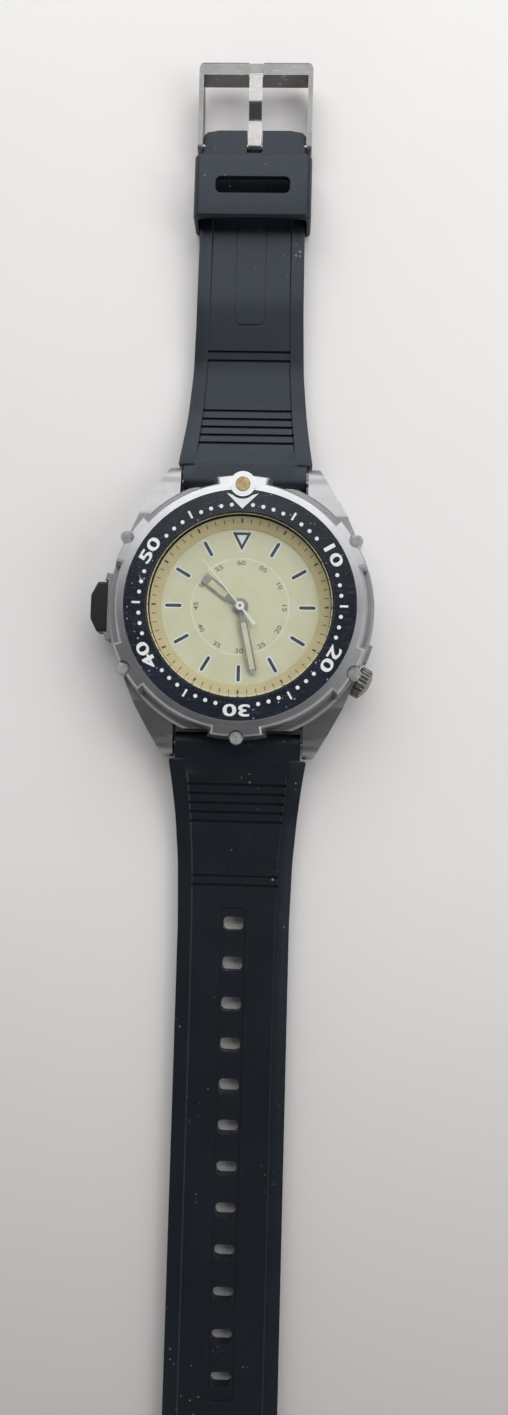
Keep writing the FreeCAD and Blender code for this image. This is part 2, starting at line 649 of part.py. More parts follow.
def make_hands():
    """Hour, minute and second hands, each pressed on its own tube or arbor."""
    half = cell.hour_width / 2
    hour = Piece("hour_hand")
    blade = hour.sketch("XY", cell.hour_hand_low)
    outline(blade, [(-0.5, -0.8), (0.5, -0.8), (0.4, 2.0), (half, 2.4),
                    (half, cell.hour_reach - 0.9), (half * 0.97, cell.hour_reach - 0.12),
                    (half * 0.85, cell.hour_reach), (half * -0.85, cell.hour_reach),
                    (half * -0.97, cell.hour_reach - 0.12), (-half, cell.hour_reach - 0.9),
                    (-half, 2.4), (-0.4, 2.0)])
    hour.pad(blade, cell.hand_thick)
    hub = hour.sketch("XY", cell.hour_hand_low)
    circle(hub, 0, 0, cell.hour_tube_radius + 0.45)
    hour.pad(hub, cell.hand_thick)
    bore = hour.sketch("XY", cell.hour_hand_low + 1)
    circle(bore, 0, 0, cell.hour_tube_radius)
    hour.pocket(bore, 2)
    turn_hand(hour, cell.hour_angle)

    half = cell.minute_width / 2
    minute = Piece("minute_hand")
    blade = minute.sketch("XY", cell.minute_hand_low)
    outline(blade, [(-0.35, -1.2), (0.35, -1.2), (0.3, 1.9), (half, 2.4),
                    (half, cell.minute_reach - 0.7), (0, cell.minute_reach),
                    (-half, cell.minute_reach - 0.7), (-half, 2.4), (-0.3, 1.9)])
    minute.pad(blade, cell.hand_thick)
    hub = minute.sketch("XY", cell.minute_hand_low)
    circle(hub, 0, 0, cell.cannon_radius + 0.5)
    minute.pad(hub, cell.hand_thick)
    bore = minute.sketch("XY", cell.minute_hand_low + 1)
    circle(bore, 0, 0, cell.cannon_radius)
    minute.pocket(bore, 2)
    turn_hand(minute, cell.minute_angle)

    second = Piece("second_hand")
    blade = second.sketch("XY", cell.second_hand_low)
    tail = cell.second_tail
    outline(blade, [(-0.3, -tail, 0.1), (0.3, -tail, 0.1), (0.14, 0), (0.05, cell.second_reach),
                    (-0.05, cell.second_reach), (-0.14, 0)])
    second.pad(blade, 0.1)
    cap = second.sketch("XY", cell.second_hand_low)
    circle(cap, 0, 0, 0.68)
    second.pad(cap, 0.24)
    bore = second.sketch("XY", cell.second_hand_low + 1)
    circle(bore, 0, 0, cell.pivot_radius)
    second.pocket(bore, 2)
    turn_hand(second, cell.second_angle)


# ---------------------------------------------------------------- movement
TEETH = {"rotor": 6, "fifth": 30, "fifth_pinion": 6, "second": 36, "second_pinion": 8,
         "third": 60, "third_pinion": 8, "centre": 64, "cannon": 12, "minute": 36,
         "minute_pinion": 10, "hour": 40, "setting": 18, "setting_pinion": 10}


def pair_distance(module, first, second):
    """Centre distance of two meshed toothed wheels."""
    return module.value * (TEETH[first] + TEETH[second]) / 2


def toward(angle, distance, start=(0.0, 0.0)):
    """A point at a distance from start, in a direction given in degrees from +X."""
    turn = math.radians(angle)
    return (start[0] + distance * math.cos(turn), start[1] + distance * math.sin(turn))


THIRD_WAY, FIFTH_WAY, ROTOR_WAY = 120.0, 0.0, 30.0
CENTRE = (0.0, 0.0)
THIRD = toward(THIRD_WAY, pair_distance(cell.third_module, "third", "second_pinion"))
FIFTH = toward(FIFTH_WAY, pair_distance(cell.second_module, "second", "fifth_pinion"))
ROTOR = toward(ROTOR_WAY, pair_distance(cell.rotor_module, "fifth", "rotor"), FIFTH)
SETTING = toward(-cell.crown_angle.value, cell.setting_wheel_place.value)


def minute_wheel_way():
    """Direction of the minute wheel that puts it in mesh with cannon pinion and setting wheel."""
    near = pair_distance(cell.minute_module, "cannon", "minute")
    far = pair_distance(cell.minute_module, "minute", "setting")
    reach = cell.setting_wheel_place.value
    corner = (near ** 2 + reach ** 2 - far ** 2) / (2 * near * reach)
    return -cell.crown_angle.value - math.degrees(math.acos(corner))


MINUTE_WAY = minute_wheel_way()
MINUTE = toward(MINUTE_WAY, pair_distance(cell.minute_module, "cannon", "minute"))


def mesh_phase(way, teeth, phase, other_teeth):
    """Angle of a tooth on the other wheel, so that its gap meets this wheel's tooth.

    way is the direction in degrees from this wheel to the other one.
    """
    pitch = 360.0 / teeth
    nearest = phase + round((way - phase) / pitch) * pitch
    offset = nearest - way
    return way + 180.0 - offset * teeth / other_teeth + 180.0 / other_teeth


def toothed(module, name, low, phase=0.0, centre=(0.0, 0.0), thick=None):
    """A toothed disc with straight-flanked teeth, one of them centred on the angle phase."""
    teeth = TEETH[name]
    pitch_radius = module.value * teeth / 2
    tip = pitch_radius + 0.8 * module.value
    root = pitch_radius - 1.1 * module.value
    pitch = 2 * math.pi / teeth
    points = []
    for number in range(teeth):
        middle = math.radians(phase) + number * pitch
        for radius, share in ((root, -0.27), (tip, -0.12), (tip, 0.12), (root, 0.27)):
            turn = middle + share * pitch
            points.append(Vector(centre[0] + radius * math.cos(turn),
                                 centre[1] + radius * math.sin(turn), low))
    points.append(points[0])
    thickness = cell.wheel_thick.value if thick is None else thick
    return Part.Face(Part.makePolygon(points)).extrude(Vector(0, 0, thickness))


def at(centre, radius, low, high):
    """A vertical cylinder on a wheel's axis."""
    return upright(radius, low, high, centre[0], centre[1])


def make_going_train():
    """Stepping rotor, fifth wheel, second wheel, third wheel and centre wheel."""
    pivot = cell.pivot_radius.value
    low, high = cell.bridge_low.value + 0.05, cell.plate_low.value + 0.5
    rotor_low, second_low = cell.rotor_level.value, cell.second_level.value
    third_low, centre_low = cell.third_level.value, cell.centre_level.value

    fifth = toothed(cell.rotor_module, "fifth", rotor_low, ROTOR_WAY, FIFTH)
    fifth_pinion = toothed(cell.second_module, "fifth_pinion", rotor_low + 0.2,
                           mesh_phase(FIFTH_WAY, TEETH["second"], 0.0, TEETH["fifth_pinion"]),
                           FIFTH, second_low + 0.25 - rotor_low - 0.2)
    computed("fifth_wheel", fifth.fuse([fifth_pinion, at(FIFTH, pivot, low, high)]))

    rotor_pinion = toothed(cell.rotor_module, "rotor", rotor_low,
                           mesh_phase(ROTOR_WAY, TEETH["fifth"], ROTOR_WAY, TEETH["rotor"]),
                           ROTOR)
    magnet = at(ROTOR, 0.7, third_low - 0.15, third_low + 0.35)
    computed("rotor", rotor_pinion.fuse([magnet, at(ROTOR, pivot, low, high)]))

    second = toothed(cell.second_module, "second", second_low, 0.0)
    second_pinion = toothed(cell.third_module, "second_pinion", second_low + 0.2,
                            mesh_phase(THIRD_WAY + 180, TEETH["third"], THIRD_WAY + 180,
                                       TEETH["second_pinion"]), CENTRE,
                            third_low + 0.25 - second_low - 0.2)
    arbor = at(CENTRE, pivot, low, cell.second_hand_low.value + 0.2)
    computed("second_wheel", second.fuse([second_pinion, arbor]))

    third = toothed(cell.third_module, "third", third_low, THIRD_WAY + 180, THIRD)
    third_pinion = toothed(cell.centre_module, "third_pinion", third_low + 0.2,
                           mesh_phase(THIRD_WAY, TEETH["centre"], THIRD_WAY,
                                      TEETH["third_pinion"]),
                           THIRD, centre_low + 0.25 - third_low - 0.2)
    computed("third_wheel", third.fuse([third_pinion, at(THIRD, pivot, low, high)]))

    cannon = cell.cannon_radius.value
    bore = at(CENTRE, pivot + cell.pivot_gap.value, 0, 20)
    centre = toothed(cell.centre_module, "centre", centre_low, THIRD_WAY)
    computed("centre_wheel", centre.cut(at(CENTRE, cannon, 0, 20)))
    leaves = toothed(cell.minute_module, "cannon", cell.minute_works_level.value,
                     mesh_phase(MINUTE_WAY + 180, TEETH["minute"], MINUTE_WAY + 180,
                                TEETH["cannon"]))
    tube = at(CENTRE, cannon, centre_low - 0.05, cell.minute_hand_low.value + 0.2)
    computed("cannon_pinion", leaves.fuse(tube).cut(bore))


def make_motion_works():
    """Minute wheel, hour wheel and the setting wheel that the stem works drive."""
    pivot, gap = cell.pivot_radius.value, cell.pivot_gap.value
    minute_low, hour_low = cell.minute_works_level.value, cell.hour_works_level.value
    plate_top, plate_low = cell.plate_top.value, cell.plate_low.value
    back = MINUTE_WAY + 180
    minute = toothed(cell.minute_module, "minute", minute_low, back, MINUTE)
    pinion = toothed(cell.hour_module, "minute_pinion", minute_low + 0.1, back, MINUTE,
                     hour_low + 0.17 - minute_low - 0.1)
    computed("minute_wheel", minute.fuse([pinion, at(MINUTE, pivot, plate_low + 0.2,
                                                     hour_low + 0.19)]))
    hour = toothed(cell.hour_module, "hour", hour_low,
                   mesh_phase(back, TEETH["minute_pinion"], back, TEETH["hour"]))
    tube = at(CENTRE, cell.hour_tube_radius.value, hour_low, cell.hour_hand_low.value + 0.2)
    bore = at(CENTRE, cell.cannon_radius.value + 2 * gap, 0, 20)
    computed("hour_wheel", hour.fuse(tube).cut(bore))

    way = math.degrees(math.atan2(SETTING[1] - MINUTE[1], SETTING[0] - MINUTE[0]))
    phase = mesh_phase(way, TEETH["minute"], back, TEETH["setting"])
    setting = toothed(cell.minute_module, "setting", minute_low, phase, SETTING)
    lower = toothed(cell.hour_module, "setting_pinion", cell.crown_height.value - 0.25, 0.0,
                    SETTING, 0.5)
    arbor = at(SETTING, pivot, cell.crown_height.value - 0.25, plate_top + 0.3)
    computed("setting_wheel", setting.fuse([lower, arbor]))


def make_main_plate():
    """Main plate with four screw pillars, bridge posts and a hole for every pivot."""
    low, top = cell.plate_low.value, cell.plate_top.value
    plate = upright(cell.plate_radius.value, low, top)
    pivot_hole = cell.pivot_radius.value + cell.pivot_gap.value
    for way in PILLAR_WAYS:
        spot = toward(way, cell.pillar_place.value)
        plate = plate.fuse(at(spot, cell.pillar_radius.value, cell.cover_top.value, low))
    for spot in POSTS:
        plate = plate.fuse(at(spot, 0.5, cell.bridge_top.value, low))
    for way in PILLAR_WAYS:
        spot = toward(way, cell.pillar_place.value)
        plate = plate.cut(at(spot, SCREW_RADIUS, 0, low + 0.6))
    for spot in (FIFTH, ROTOR, THIRD):
        plate = plate.cut(at(spot, pivot_hole, low - 1, low + 0.6))
    for spot in (MINUTE, SETTING):
        plate = plate.cut(at(spot, pivot_hole, low - 1, top + 1))
    centre_hole = at(CENTRE, cell.cannon_radius.value + 0.05, low - 1, top + 1)
    computed("main_plate", plate.cut(centre_hole))


PILLAR_WAYS = (75.0, 155.0, 205.0, 315.0)
POSTS = ((-3.9, -1.0), (0.6, -3.7), (2.2, 3.9))
SCREW_RADIUS = 0.3
SCREW_HEAD = 0.55


def make_bridges():
    """Train bridge over the lower pivots, and the cover that holds the cell."""
    bridge = Piece("train_bridge")
    sketch = bridge.sketch("XY", cell.bridge_low)
    outline(sketch, [(-4.8, -1.9, 0.6), (0.2, -4.5, 0.6), (1.6, -4.4, 0.6), (5.3, -0.4, 0.6),
                     (5.3, 1.7, 0.6), (3.0, 4.8, 0.6), (1.0, 4.8, 0.6), (-2.6, 3.7, 0.6)])
    bridge.pad(sketch, cell.bridge_top - cell.bridge_low)
    holes = bridge.sketch("XY", cell.bridge_top + 0.1)
    for spot in (CENTRE, FIFTH, ROTOR, THIRD):
        circle(holes, spot[0], spot[1], cell.pivot_radius + cell.pivot_gap)
    bridge.pocket(holes, 1)

    cover = Piece("circuit_cover")
    disc = cover.sketch("XY", cell.cover_low)
    circle(disc, 0, 0, cell.plate_radius)
    circle(disc, 0, -cell.cell_place, cell.cell_radius + cell.cell_gap)
    cover.pad(disc, cell.cover_top - cell.cover_low)
    holes = cover.sketch("XY", cell.cover_top + 0.1)
    for way in PILLAR_WAYS:
        spot = toward(way, cell.pillar_place.value)
        circle(holes, spot[0], spot[1], SCREW_RADIUS)
    for side in (1, -1):
        circle(holes, side * 7.6, -cell.cell_place, SCREW_RADIUS)
    cover.pocket(holes, 3)

    screws = []
    for way in PILLAR_WAYS:
        spot = toward(way, cell.pillar_place.value)
        head_low = cell.cover_low.value - 0.25
        screw = at(spot, SCREW_RADIUS, head_low, cell.plate_low.value + 0.5)
        head = at(spot, SCREW_HEAD, head_low, cell.cover_low.value)
        slot = Part.makeBox(2, 0.16, 0.12, Vector(spot[0] - 1, spot[1] - 0.08, head_low))
        screws.append(screw.fuse(head).cut(slot))
    computed("movement_screws", Part.makeCompound(screws))


def make_power():
    """Coin cell, its clamp with two screws, circuit board, quartz can, chip, coil and stator."""
    plain_cell = Piece("coin_cell")
    can = plain_cell.sketch("XY", cell.cover_low)
    circle(can, 0, -cell.cell_place, cell.cell_radius)
    plain_cell.pad(can, 1.6)

    clamp = Piece("cell_clamp")
    strip = clamp.sketch("XY", cell.cover_low - 0.15)
    outline(strip, [(-8.4, -5.6, 0.8), (8.4, -5.6, 0.8), (8.4, -3.6, 0.8), (-8.4, -3.6, 0.8)])
    for side in (1, -1):
        circle(strip, side * 7.6, -cell.cell_place, SCREW_RADIUS)
    clamp.pad(strip, 0.15)
    screws = []
    for side in (1, -1):
        spot = (side * 7.6, -cell.cell_place.value)
        low = cell.cover_low.value - 0.3
        screw = at(spot, SCREW_RADIUS, low, cell.cover_top.value - 0.3)
        screws.append(screw.fuse(at(spot, SCREW_HEAD, low, cell.cover_low.value - 0.15)))
    computed("cell_clamp_screws", Part.makeCompound(screws))

    board = Piece("circuit_board")
    sheet_face = board.sketch("XY", cell.plate_low - 0.25)
    outline(sheet_face, [(-8.3, -5.6, 0.5), (-4.9, -5.6, 0.5), (-4.9, 6.2, 0.5),
                         (-8.3, 6.2, 0.5)])
    board.pad(sheet_face, 0.25)
    chip = Piece("timing_chip")
    chip_face = chip.sketch("XY", cell.plate_low - 0.85)
    rectangle(chip_face, -7.6, -5.6, -4.0, -2.0)
    chip.pad(chip_face, 0.6)
    can_height = cell.plate_low.value - 0.25 - 0.75
    can_shape = Part.makeCylinder(0.75, 5, Vector(-6.6, 0.2, can_height), Vector(0, 1, 0))
    computed("quartz_can", can_shape)

    level = cell.third_level.value - 0.05
    x = cell.coil_place.value
    core_half, sheet_thick = 0.4, 0.2
    arms = Part.makeBox(x + core_half - ROTOR[0], 1.2, sheet_thick,
                        Vector(ROTOR[0], ROTOR[1] - 0.6, level))
    for low_x, low_y, width, length in (
            (x - core_half, ROTOR[1], 2 * core_half, 7.6), (ROTOR[0] - 0.4, ROTOR[1] + 1.0, 0.8, 6.6),
            (ROTOR[0] - 0.4, ROTOR[1] + 6.8, x - ROTOR[0] + 0.8, 0.8)):
        arms = arms.fuse(Part.makeBox(width, length, sheet_thick, Vector(low_x, low_y, level)))
    ring = at(ROTOR, 1.25, level, level + sheet_thick)
    stator = arms.fuse(ring).cut(at(ROTOR, 0.95, 0, 20))
    stator = stator.cut(at(FIFTH, 0.35, 0, 20))
    computed("stator", stator.removeSplitter())
    coil = Part.makeCylinder(cell.coil_radius.value, 5.2,
                             Vector(x, ROTOR[1] + 1.1, level + sheet_thick / 2), Vector(0, 1, 0))
    core_slot = Part.makeBox(2 * core_half, 12, sheet_thick,
                             Vector(x - core_half, ROTOR[1], level))
    computed("coil_winding", coil.cut(core_slot))


def make_holder():
    """Plastic movement ring with a stem channel and a bay for the light switch."""
    holder = upright(cell.holder_radius.value, cell.cover_low.value, cell.dial_low.value - 0.15)
    holder = holder.cut(upright(cell.holder_hole.value, 0, 20))
    stem_way = Part.makeCylinder(1.5, 10, Vector(9, 0, cell.crown_height.value),
                                 Vector(1, 0, 0))
    stem_way.rotate(Vector(0, 0, 0), Vector(0, 0, 1), -cell.crown_angle.value)
    bay = Part.makeBox(2.9, 3.4, 4.0, Vector(-14.9, -1.7, 3.0))
    computed("movement_holder", holder.cut(stem_way).cut(bay).cut(lamp_spring_holes()))
    plain_ring("dial_spacer", cell.plate_radius - 0.1, 7.6, cell.plate_top, cell.dial_low - 0.15)
    computed("light_switch_blade", Part.makeBox(0.12, 1.6, 4.0, Vector(-12.72, -0.8, 3.0)))

    springs = []
    for spot in LAMP_SPRINGS:
        height = cell.dial_low.value - 0.15 - LAMP_SPRING_LOW - 0.16
        path = Part.makeHelix(0.36, height, 0.36)
        profile = Part.Wire(Part.makeCircle(0.08, Vector(0.36, 0, 0), Vector(0, 1, 0.16)))
        coil = Part.Wire(path.Edges).makePipeShell([profile], True, True)
        coil.translate(Vector(spot[0], spot[1], LAMP_SPRING_LOW + 0.08))
        springs.append(coil)
    computed("lamp_contact_springs", Part.makeCompound(springs))


LAMP_SPRINGS = (toward(100.0, 12.9), toward(110.0, 12.9))
LAMP_SPRING_LOW = 4.2


def lamp_spring_holes():
    """Wells in the holder for the two springs that feed the lamp panel."""
    wells = [at(spot, 0.6, LAMP_SPRING_LOW, 9) for spot in LAMP_SPRINGS]
    return wells[0].fuse(wells[1])


# ---------------------------------------------------------------- crown and setting parts
def along_crown(shape):
    """Turn a shape made along +X onto the crown's axis."""
    shape.translate(Vector(0, 0, cell.crown_height.value))
    shape.rotate(Vector(0, 0, 0), Vector(0, 0, 1), -cell.crown_angle.value)
    return shape


def make_crown():
    """Fluted crown with a domed face, on the stem that runs through the case tube."""
    crown = Piece("crown")
    inner, face, dome = cell.crown_inner, cell.crown_face, cell.crown_dome
    well = cell.tube_radius + 0.65
    sleeve = cell.tube_radius + 0.12
    crown.turn([(inner, well), (inner, cell.crown_radius - 0.3),
                (inner + 0.3, cell.crown_radius), (face - 0.25, cell.crown_radius),
                (face, cell.crown_radius - 0.3), (dome - 0.08, 1.2),
                (dome, cell.stem_radius), (inner + 1.7, cell.stem_radius), (inner + 1.7, sleeve),
                (inner + 0.8, sleeve), (inner + 0.8, well)], axis="H_Axis")
    flute = crown.sketch("YZ", inner - 0.5)
    circle(flute, 0, cell.crown_radius + 0.06, 0.19)
    groove = crown.pocket(flute, face - inner + 0.6, along_normal=True)
    crown.round_pattern([groove], int(cell.crown_flutes.value), axis="X_Axis")
    turn = Rotation(Vector(0, 0, 1), -cell.crown_angle.value)
    crown.body.Placement = Placement(Vector(0, 0, cell.crown_height.value), turn)

    stem = lying(cell.stem_radius.value, cell.stem_tip.value, cell.crown_dome.value)
    groove_ring = lying(0.9, 9.6, 10.0).cut(lying(0.32, 9.6, 10.0))
    computed("winding_stem", along_crown(stem.cut(groove_ring)))

    tube = lying(cell.tube_radius.value, cell.cavity_radius.value + 0.4, cell.tube_reach.value)
    bore = lying(cell.stem_radius.value + cell.stem_running_gap.value, 10, 30)
    computed("crown_tube", along_crown(tube.cut(bore)))

    seal_outer = cell.tube_radius.value + 0.6
    seal = lying(seal_outer, inner.value + 0.12, inner.value + 0.72)
    seal = seal.cut(lying(cell.tube_radius.value + 0.05, 10, 30))
    computed("crown_gasket", along_crown(seal))


def make_setting_works():
    """Setting lever in the stem's groove, sliding clutch and the yoke that shifts it."""
    lever = Part.makeBox(0.3, 1.9, 0.95, Vector(9.65, -0.95, -0.25))
    lever = lever.cut(Part.makeBox(1, 0.72, 0.72, Vector(9.3, -0.36, -0.4)))
    computed("setting_lever", along_crown(lever))

    stem = cell.stem_radius.value + 0.05
    clutch = lying(0.7, 7.1, 7.5).fuse([lying(0.62, 7.5, 7.9), lying(0.7, 7.9, 8.3)])
    teeth = []
    for number in range(8):
        slot = Part.makeBox(0.2, 1.0, 0.14, Vector(7.1, 0.3, -0.07))
        slot.rotate(Vector(0, 0, 0), Vector(1, 0, 0), number * 45.0)
        teeth.append(slot)
    clutch = clutch.cut(Part.makeCompound(teeth)).cut(lying(stem, 5, 12))
    computed("sliding_clutch", along_crown(clutch))

    yoke = Part.makeBox(0.24, 2.2, 0.78, Vector(7.58, -1.1, 0.0)).cut(lying(0.67, 6, 9))
    computed("clutch_yoke", along_crown(yoke))


# ---------------------------------------------------------------- light button
def make_light_button():
    """Push button at 9 o'clock with stem, seal, return spring and retaining clip."""
    button = Piece("light_button")
    plan = button.sketch("XY", cell.button_low)
    half = cell.button_half_width
    outline(plan, [(-cell.button_inner, -half), (-cell.button_shoulder, -half, 0.35),
                   (-cell.button_face, -1.9, 1.6), (-cell.button_face, 1.9, 1.6),
                   (-cell.button_shoulder, half, 0.35), (-cell.button_inner, half)])
    button.pad(plan, cell.button_top - cell.button_low)
    inner_x = -cell.button_inner.value - 0.3
    tall = cell.button_top.value - cell.button_low.value
    button.round_edges(0.4, lambda edge: edge.CenterOfMass.x < inner_x
                       and edge.BoundBox.ZLength < tall / 2)
    well = button.sketch("YZ", -cell.button_inner)
    circle(well, 0, cell.crown_height, 1.3)
    button.pocket(well, 1.3)
    root = button.sketch("YZ", -cell.button_inner)
    circle(root, 0, cell.crown_height, cell.button_stem_radius)
    button.pocket(root, 2.1)

    height = cell.crown_height.value
    radius = cell.button_stem_radius.value
    stem_start = -cell.button_inner.value - 2.1
    stem = lying(radius, stem_start, -cell.button_stem_end.value, 0, height)
    groove = lying(radius + 1, -14.26, -14.04, 0, height)
    groove = groove.cut(lying(radius - 0.2, -15, -13, 0, height))
    computed("button_stem", stem.cut(groove))
    clip = lying(radius + 0.6, -14.25, -14.05, 0, height)
    mouth = Part.makeBox(1, 0.7, 3, Vector(-14.6, -0.35, height))
    computed("button_clip", clip.cut(lying(radius - 0.2, -15, -13, 0, height)).cut(mouth))
    seat = -cell.button_seat.value
    seal = lying(radius + 0.5, seat + 0.1, seat + 0.75, 0, height)
    computed("button_seal", seal.cut(lying(radius + 0.06, -25, -10, 0, height)))
    coil_radius, pitch, pressed_length = 0.95, 0.3, 1.1
    inner, outer, half_height = coil_radius - 0.1, coil_radius + 0.1, 0.075
    section = Part.makePolygon([Vector(inner, 0, -half_height), Vector(outer, 0, -half_height),
                                Vector(outer, 0, half_height), Vector(inner, 0, half_height),
                                Vector(inner, 0, -half_height)])
    turns = Part.makeHelix(pitch, pressed_length, coil_radius)
    spring = Part.Wire(turns.Edges).makePipeShell([section], True, True)
    spring.rotate(Vector(0, 0, 0), Vector(0, 1, 0), -90)
    spring.translate(Vector(seat - 0.12, 0, height))
    computed("button_spring", spring)


# ---------------------------------------------------------------- strap, keeper and buckle
def make_spring_bars():
    """Two spring bars: tubes, sprung tips and the coil inside each tube."""
    half = cell.lug_gap.value / 2
    tubes, tips = [], []
    for side in (1, -1):
        y, z = side * cell.bar_place.value, cell.bar_height.value
        tube = lying(cell.bar_radius.value, -half + 0.7, half - 0.7, y, z)
        tubes.append(tube.cut(lying(cell.bar_radius.value - 0.25, -half, half, y, z)))
        for end in (1, -1):
            shoulder = lying(cell.bar_radius.value - 0.28, half - 2.6, half - 0.15, y, z)
            pin = lying(cell.bar_tip_radius.value - 0.03, half - 0.15, half + 0.8, y, z)
            tip = shoulder.fuse(pin)
            if end < 0:
                tip = tip.mirror(Vector(0, 0, 0), Vector(1, 0, 0))
            tips.append(tip)
    computed("spring_bar_tubes", Part.makeCompound(tubes))
    computed("spring_bar_tips", Part.makeCompound(tips))


def strap_body(label, side, end_place, end_lift):
    """Blank of one strap piece: barrel at the lugs, taper, and a flat tail.

    side is 1 towards 12 o'clock and -1 towards 6; end_lift is how high the far end lies.
    """
    piece = Piece(label)
    bar_y, bar_z, barrel = cell.bar_place, cell.bar_height, cell.strap_barrel
    thick = cell.strap_thick
    profile = piece.sketch("YZ", 0)
    low_end, high_end = end_lift, end_lift + thick
    rise = [(side * 41, 0, 8), (side * 52, low_end, 8)] if end_lift.value else []
    fall = [(side * 52, high_end, 8), (side * 41, thick, 8)] if end_lift.value else []
    outline(profile, [
        (side * (bar_y - barrel), bar_z - barrel, barrel * 0.98), (side * 25.5, bar_z - 2.2, 6),
        (side * 34, 0, 8)] + rise + [
        (side * end_place, low_end, 0.6), (side * end_place, high_end, 0.6)] + fall + [
        (side * 33, thick + 0.45, 8), (side * 26, bar_z + 1.25, 8),
        (side * (bar_y - barrel), bar_z + barrel, barrel * 0.98)])
    piece.pad(profile, 30, both_ways=True)

    plan = piece.sketch("XY", 20)
    rectangle(plan, -20, 20, side * 15, side * (end_place + 10))
    half_end = cell.buckle_end_half if side > 0 else cell.strap_half
    rounding = 1.2 if side > 0 else 8.2
    corners = [(half_end, side * end_place, rounding), (cell.strap_half, side * 50),
               (9.15, side * 40), (9.75, side * 32.7), (10.35, side * 27.6),
               (cell.shoulder_half, side * (cell.shoulder_place + 0.1), 0.4),
               (cell.shoulder_half - 0.6, side * cell.shoulder_place),
               (cell.strap_end_half, side * cell.shoulder_place),
               (cell.strap_end_half, side * 17)]
    mirrored = [(-as_size(corner[0]),) + tuple(corner[1:]) for corner in reversed(corners)]
    outline(plan, corners + mirrored)
    piece.pocket(plan, 30)
    bore = piece.sketch("YZ", 0)
    circle(bore, side * bar_y, bar_z, cell.bar_radius + cell.strap_bore_gap)
    piece.pocket(bore, 30, both_ways=True)
    return piece


def make_strap():
    """The two rubber strap pieces."""
    upper = strap_body("strap_buckle_side", 1, cell.buckle_end, cell.lift)
    slot = upper.sketch("XY", 20)
    rectangle(slot, -1.3, 1.3, cell.buckle_bar_place - 1.5, cell.buckle_end + 5)
    upper.pocket(slot, 30)
    bar = upper.sketch("YZ", 0)
    circle(bar, cell.buckle_bar_place, cell.buckle_bar_height,
           cell.buckle_bar_radius + cell.strap_bore_gap)
    upper.pocket(bar, 40, both_ways=True)

    lower = strap_body("strap_hole_side", -1, cell.tail_end, as_size(0))
    hole = lower.sketch("XY", 20)
    half_width, half_length = cell.hole_width / 2, cell.hole_length / 2
    first = -cell.hole_first
    outline(hole, [(-half_width, first - half_length, 0.7), (half_width, first - half_length, 0.7),
                   (half_width, first + half_length, 0.7),
                   (-half_width, first + half_length, 0.7)])
    cut = lower.pocket(hole, 30)
    count = int(cell.hole_count.value)
    lower.row_pattern([cut], count, cell.hole_pitch * (cell.hole_count - 1), backwards=True)


def make_keeper():
    """Loose rubber loop that holds the strap's tail."""
    keeper = Piece("keeper_loop")
    inner = cell.keeper_half - cell.keeper_side
    front = keeper.sketch("XZ", -(cell.keeper_low + cell.keeper_length))
    outline(front, [(-cell.keeper_half, 0, 0.8), (cell.keeper_half, 0, 0.8),
                    (cell.keeper_half, cell.keeper_top, 1.3),
                    (-cell.keeper_half, cell.keeper_top, 1.3)])
    outline(front, [(-inner, cell.keeper_floor, 0.3), (inner, cell.keeper_floor, 0.3),
                    (inner, cell.keeper_roof, 0.7), (-inner, cell.keeper_roof, 0.7)])
    keeper.pad(front, cell.keeper_length)
    slot = keeper.sketch("XY", cell.keeper_top + 0.1)
    middle = cell.keeper_low + cell.keeper_length / 2
    half_width, half_length = cell.keeper_slot_width / 2, cell.keeper_slot_length / 2
    outline(slot, [(-half_width, middle - half_length, 0.9), (half_width, middle - half_length, 0.9),
                   (half_width, middle + half_length, 0.9),
                   (-half_width, middle + half_length, 0.9)])
    keeper.pocket(slot, cell.keeper_top - cell.keeper_roof + 0.3)


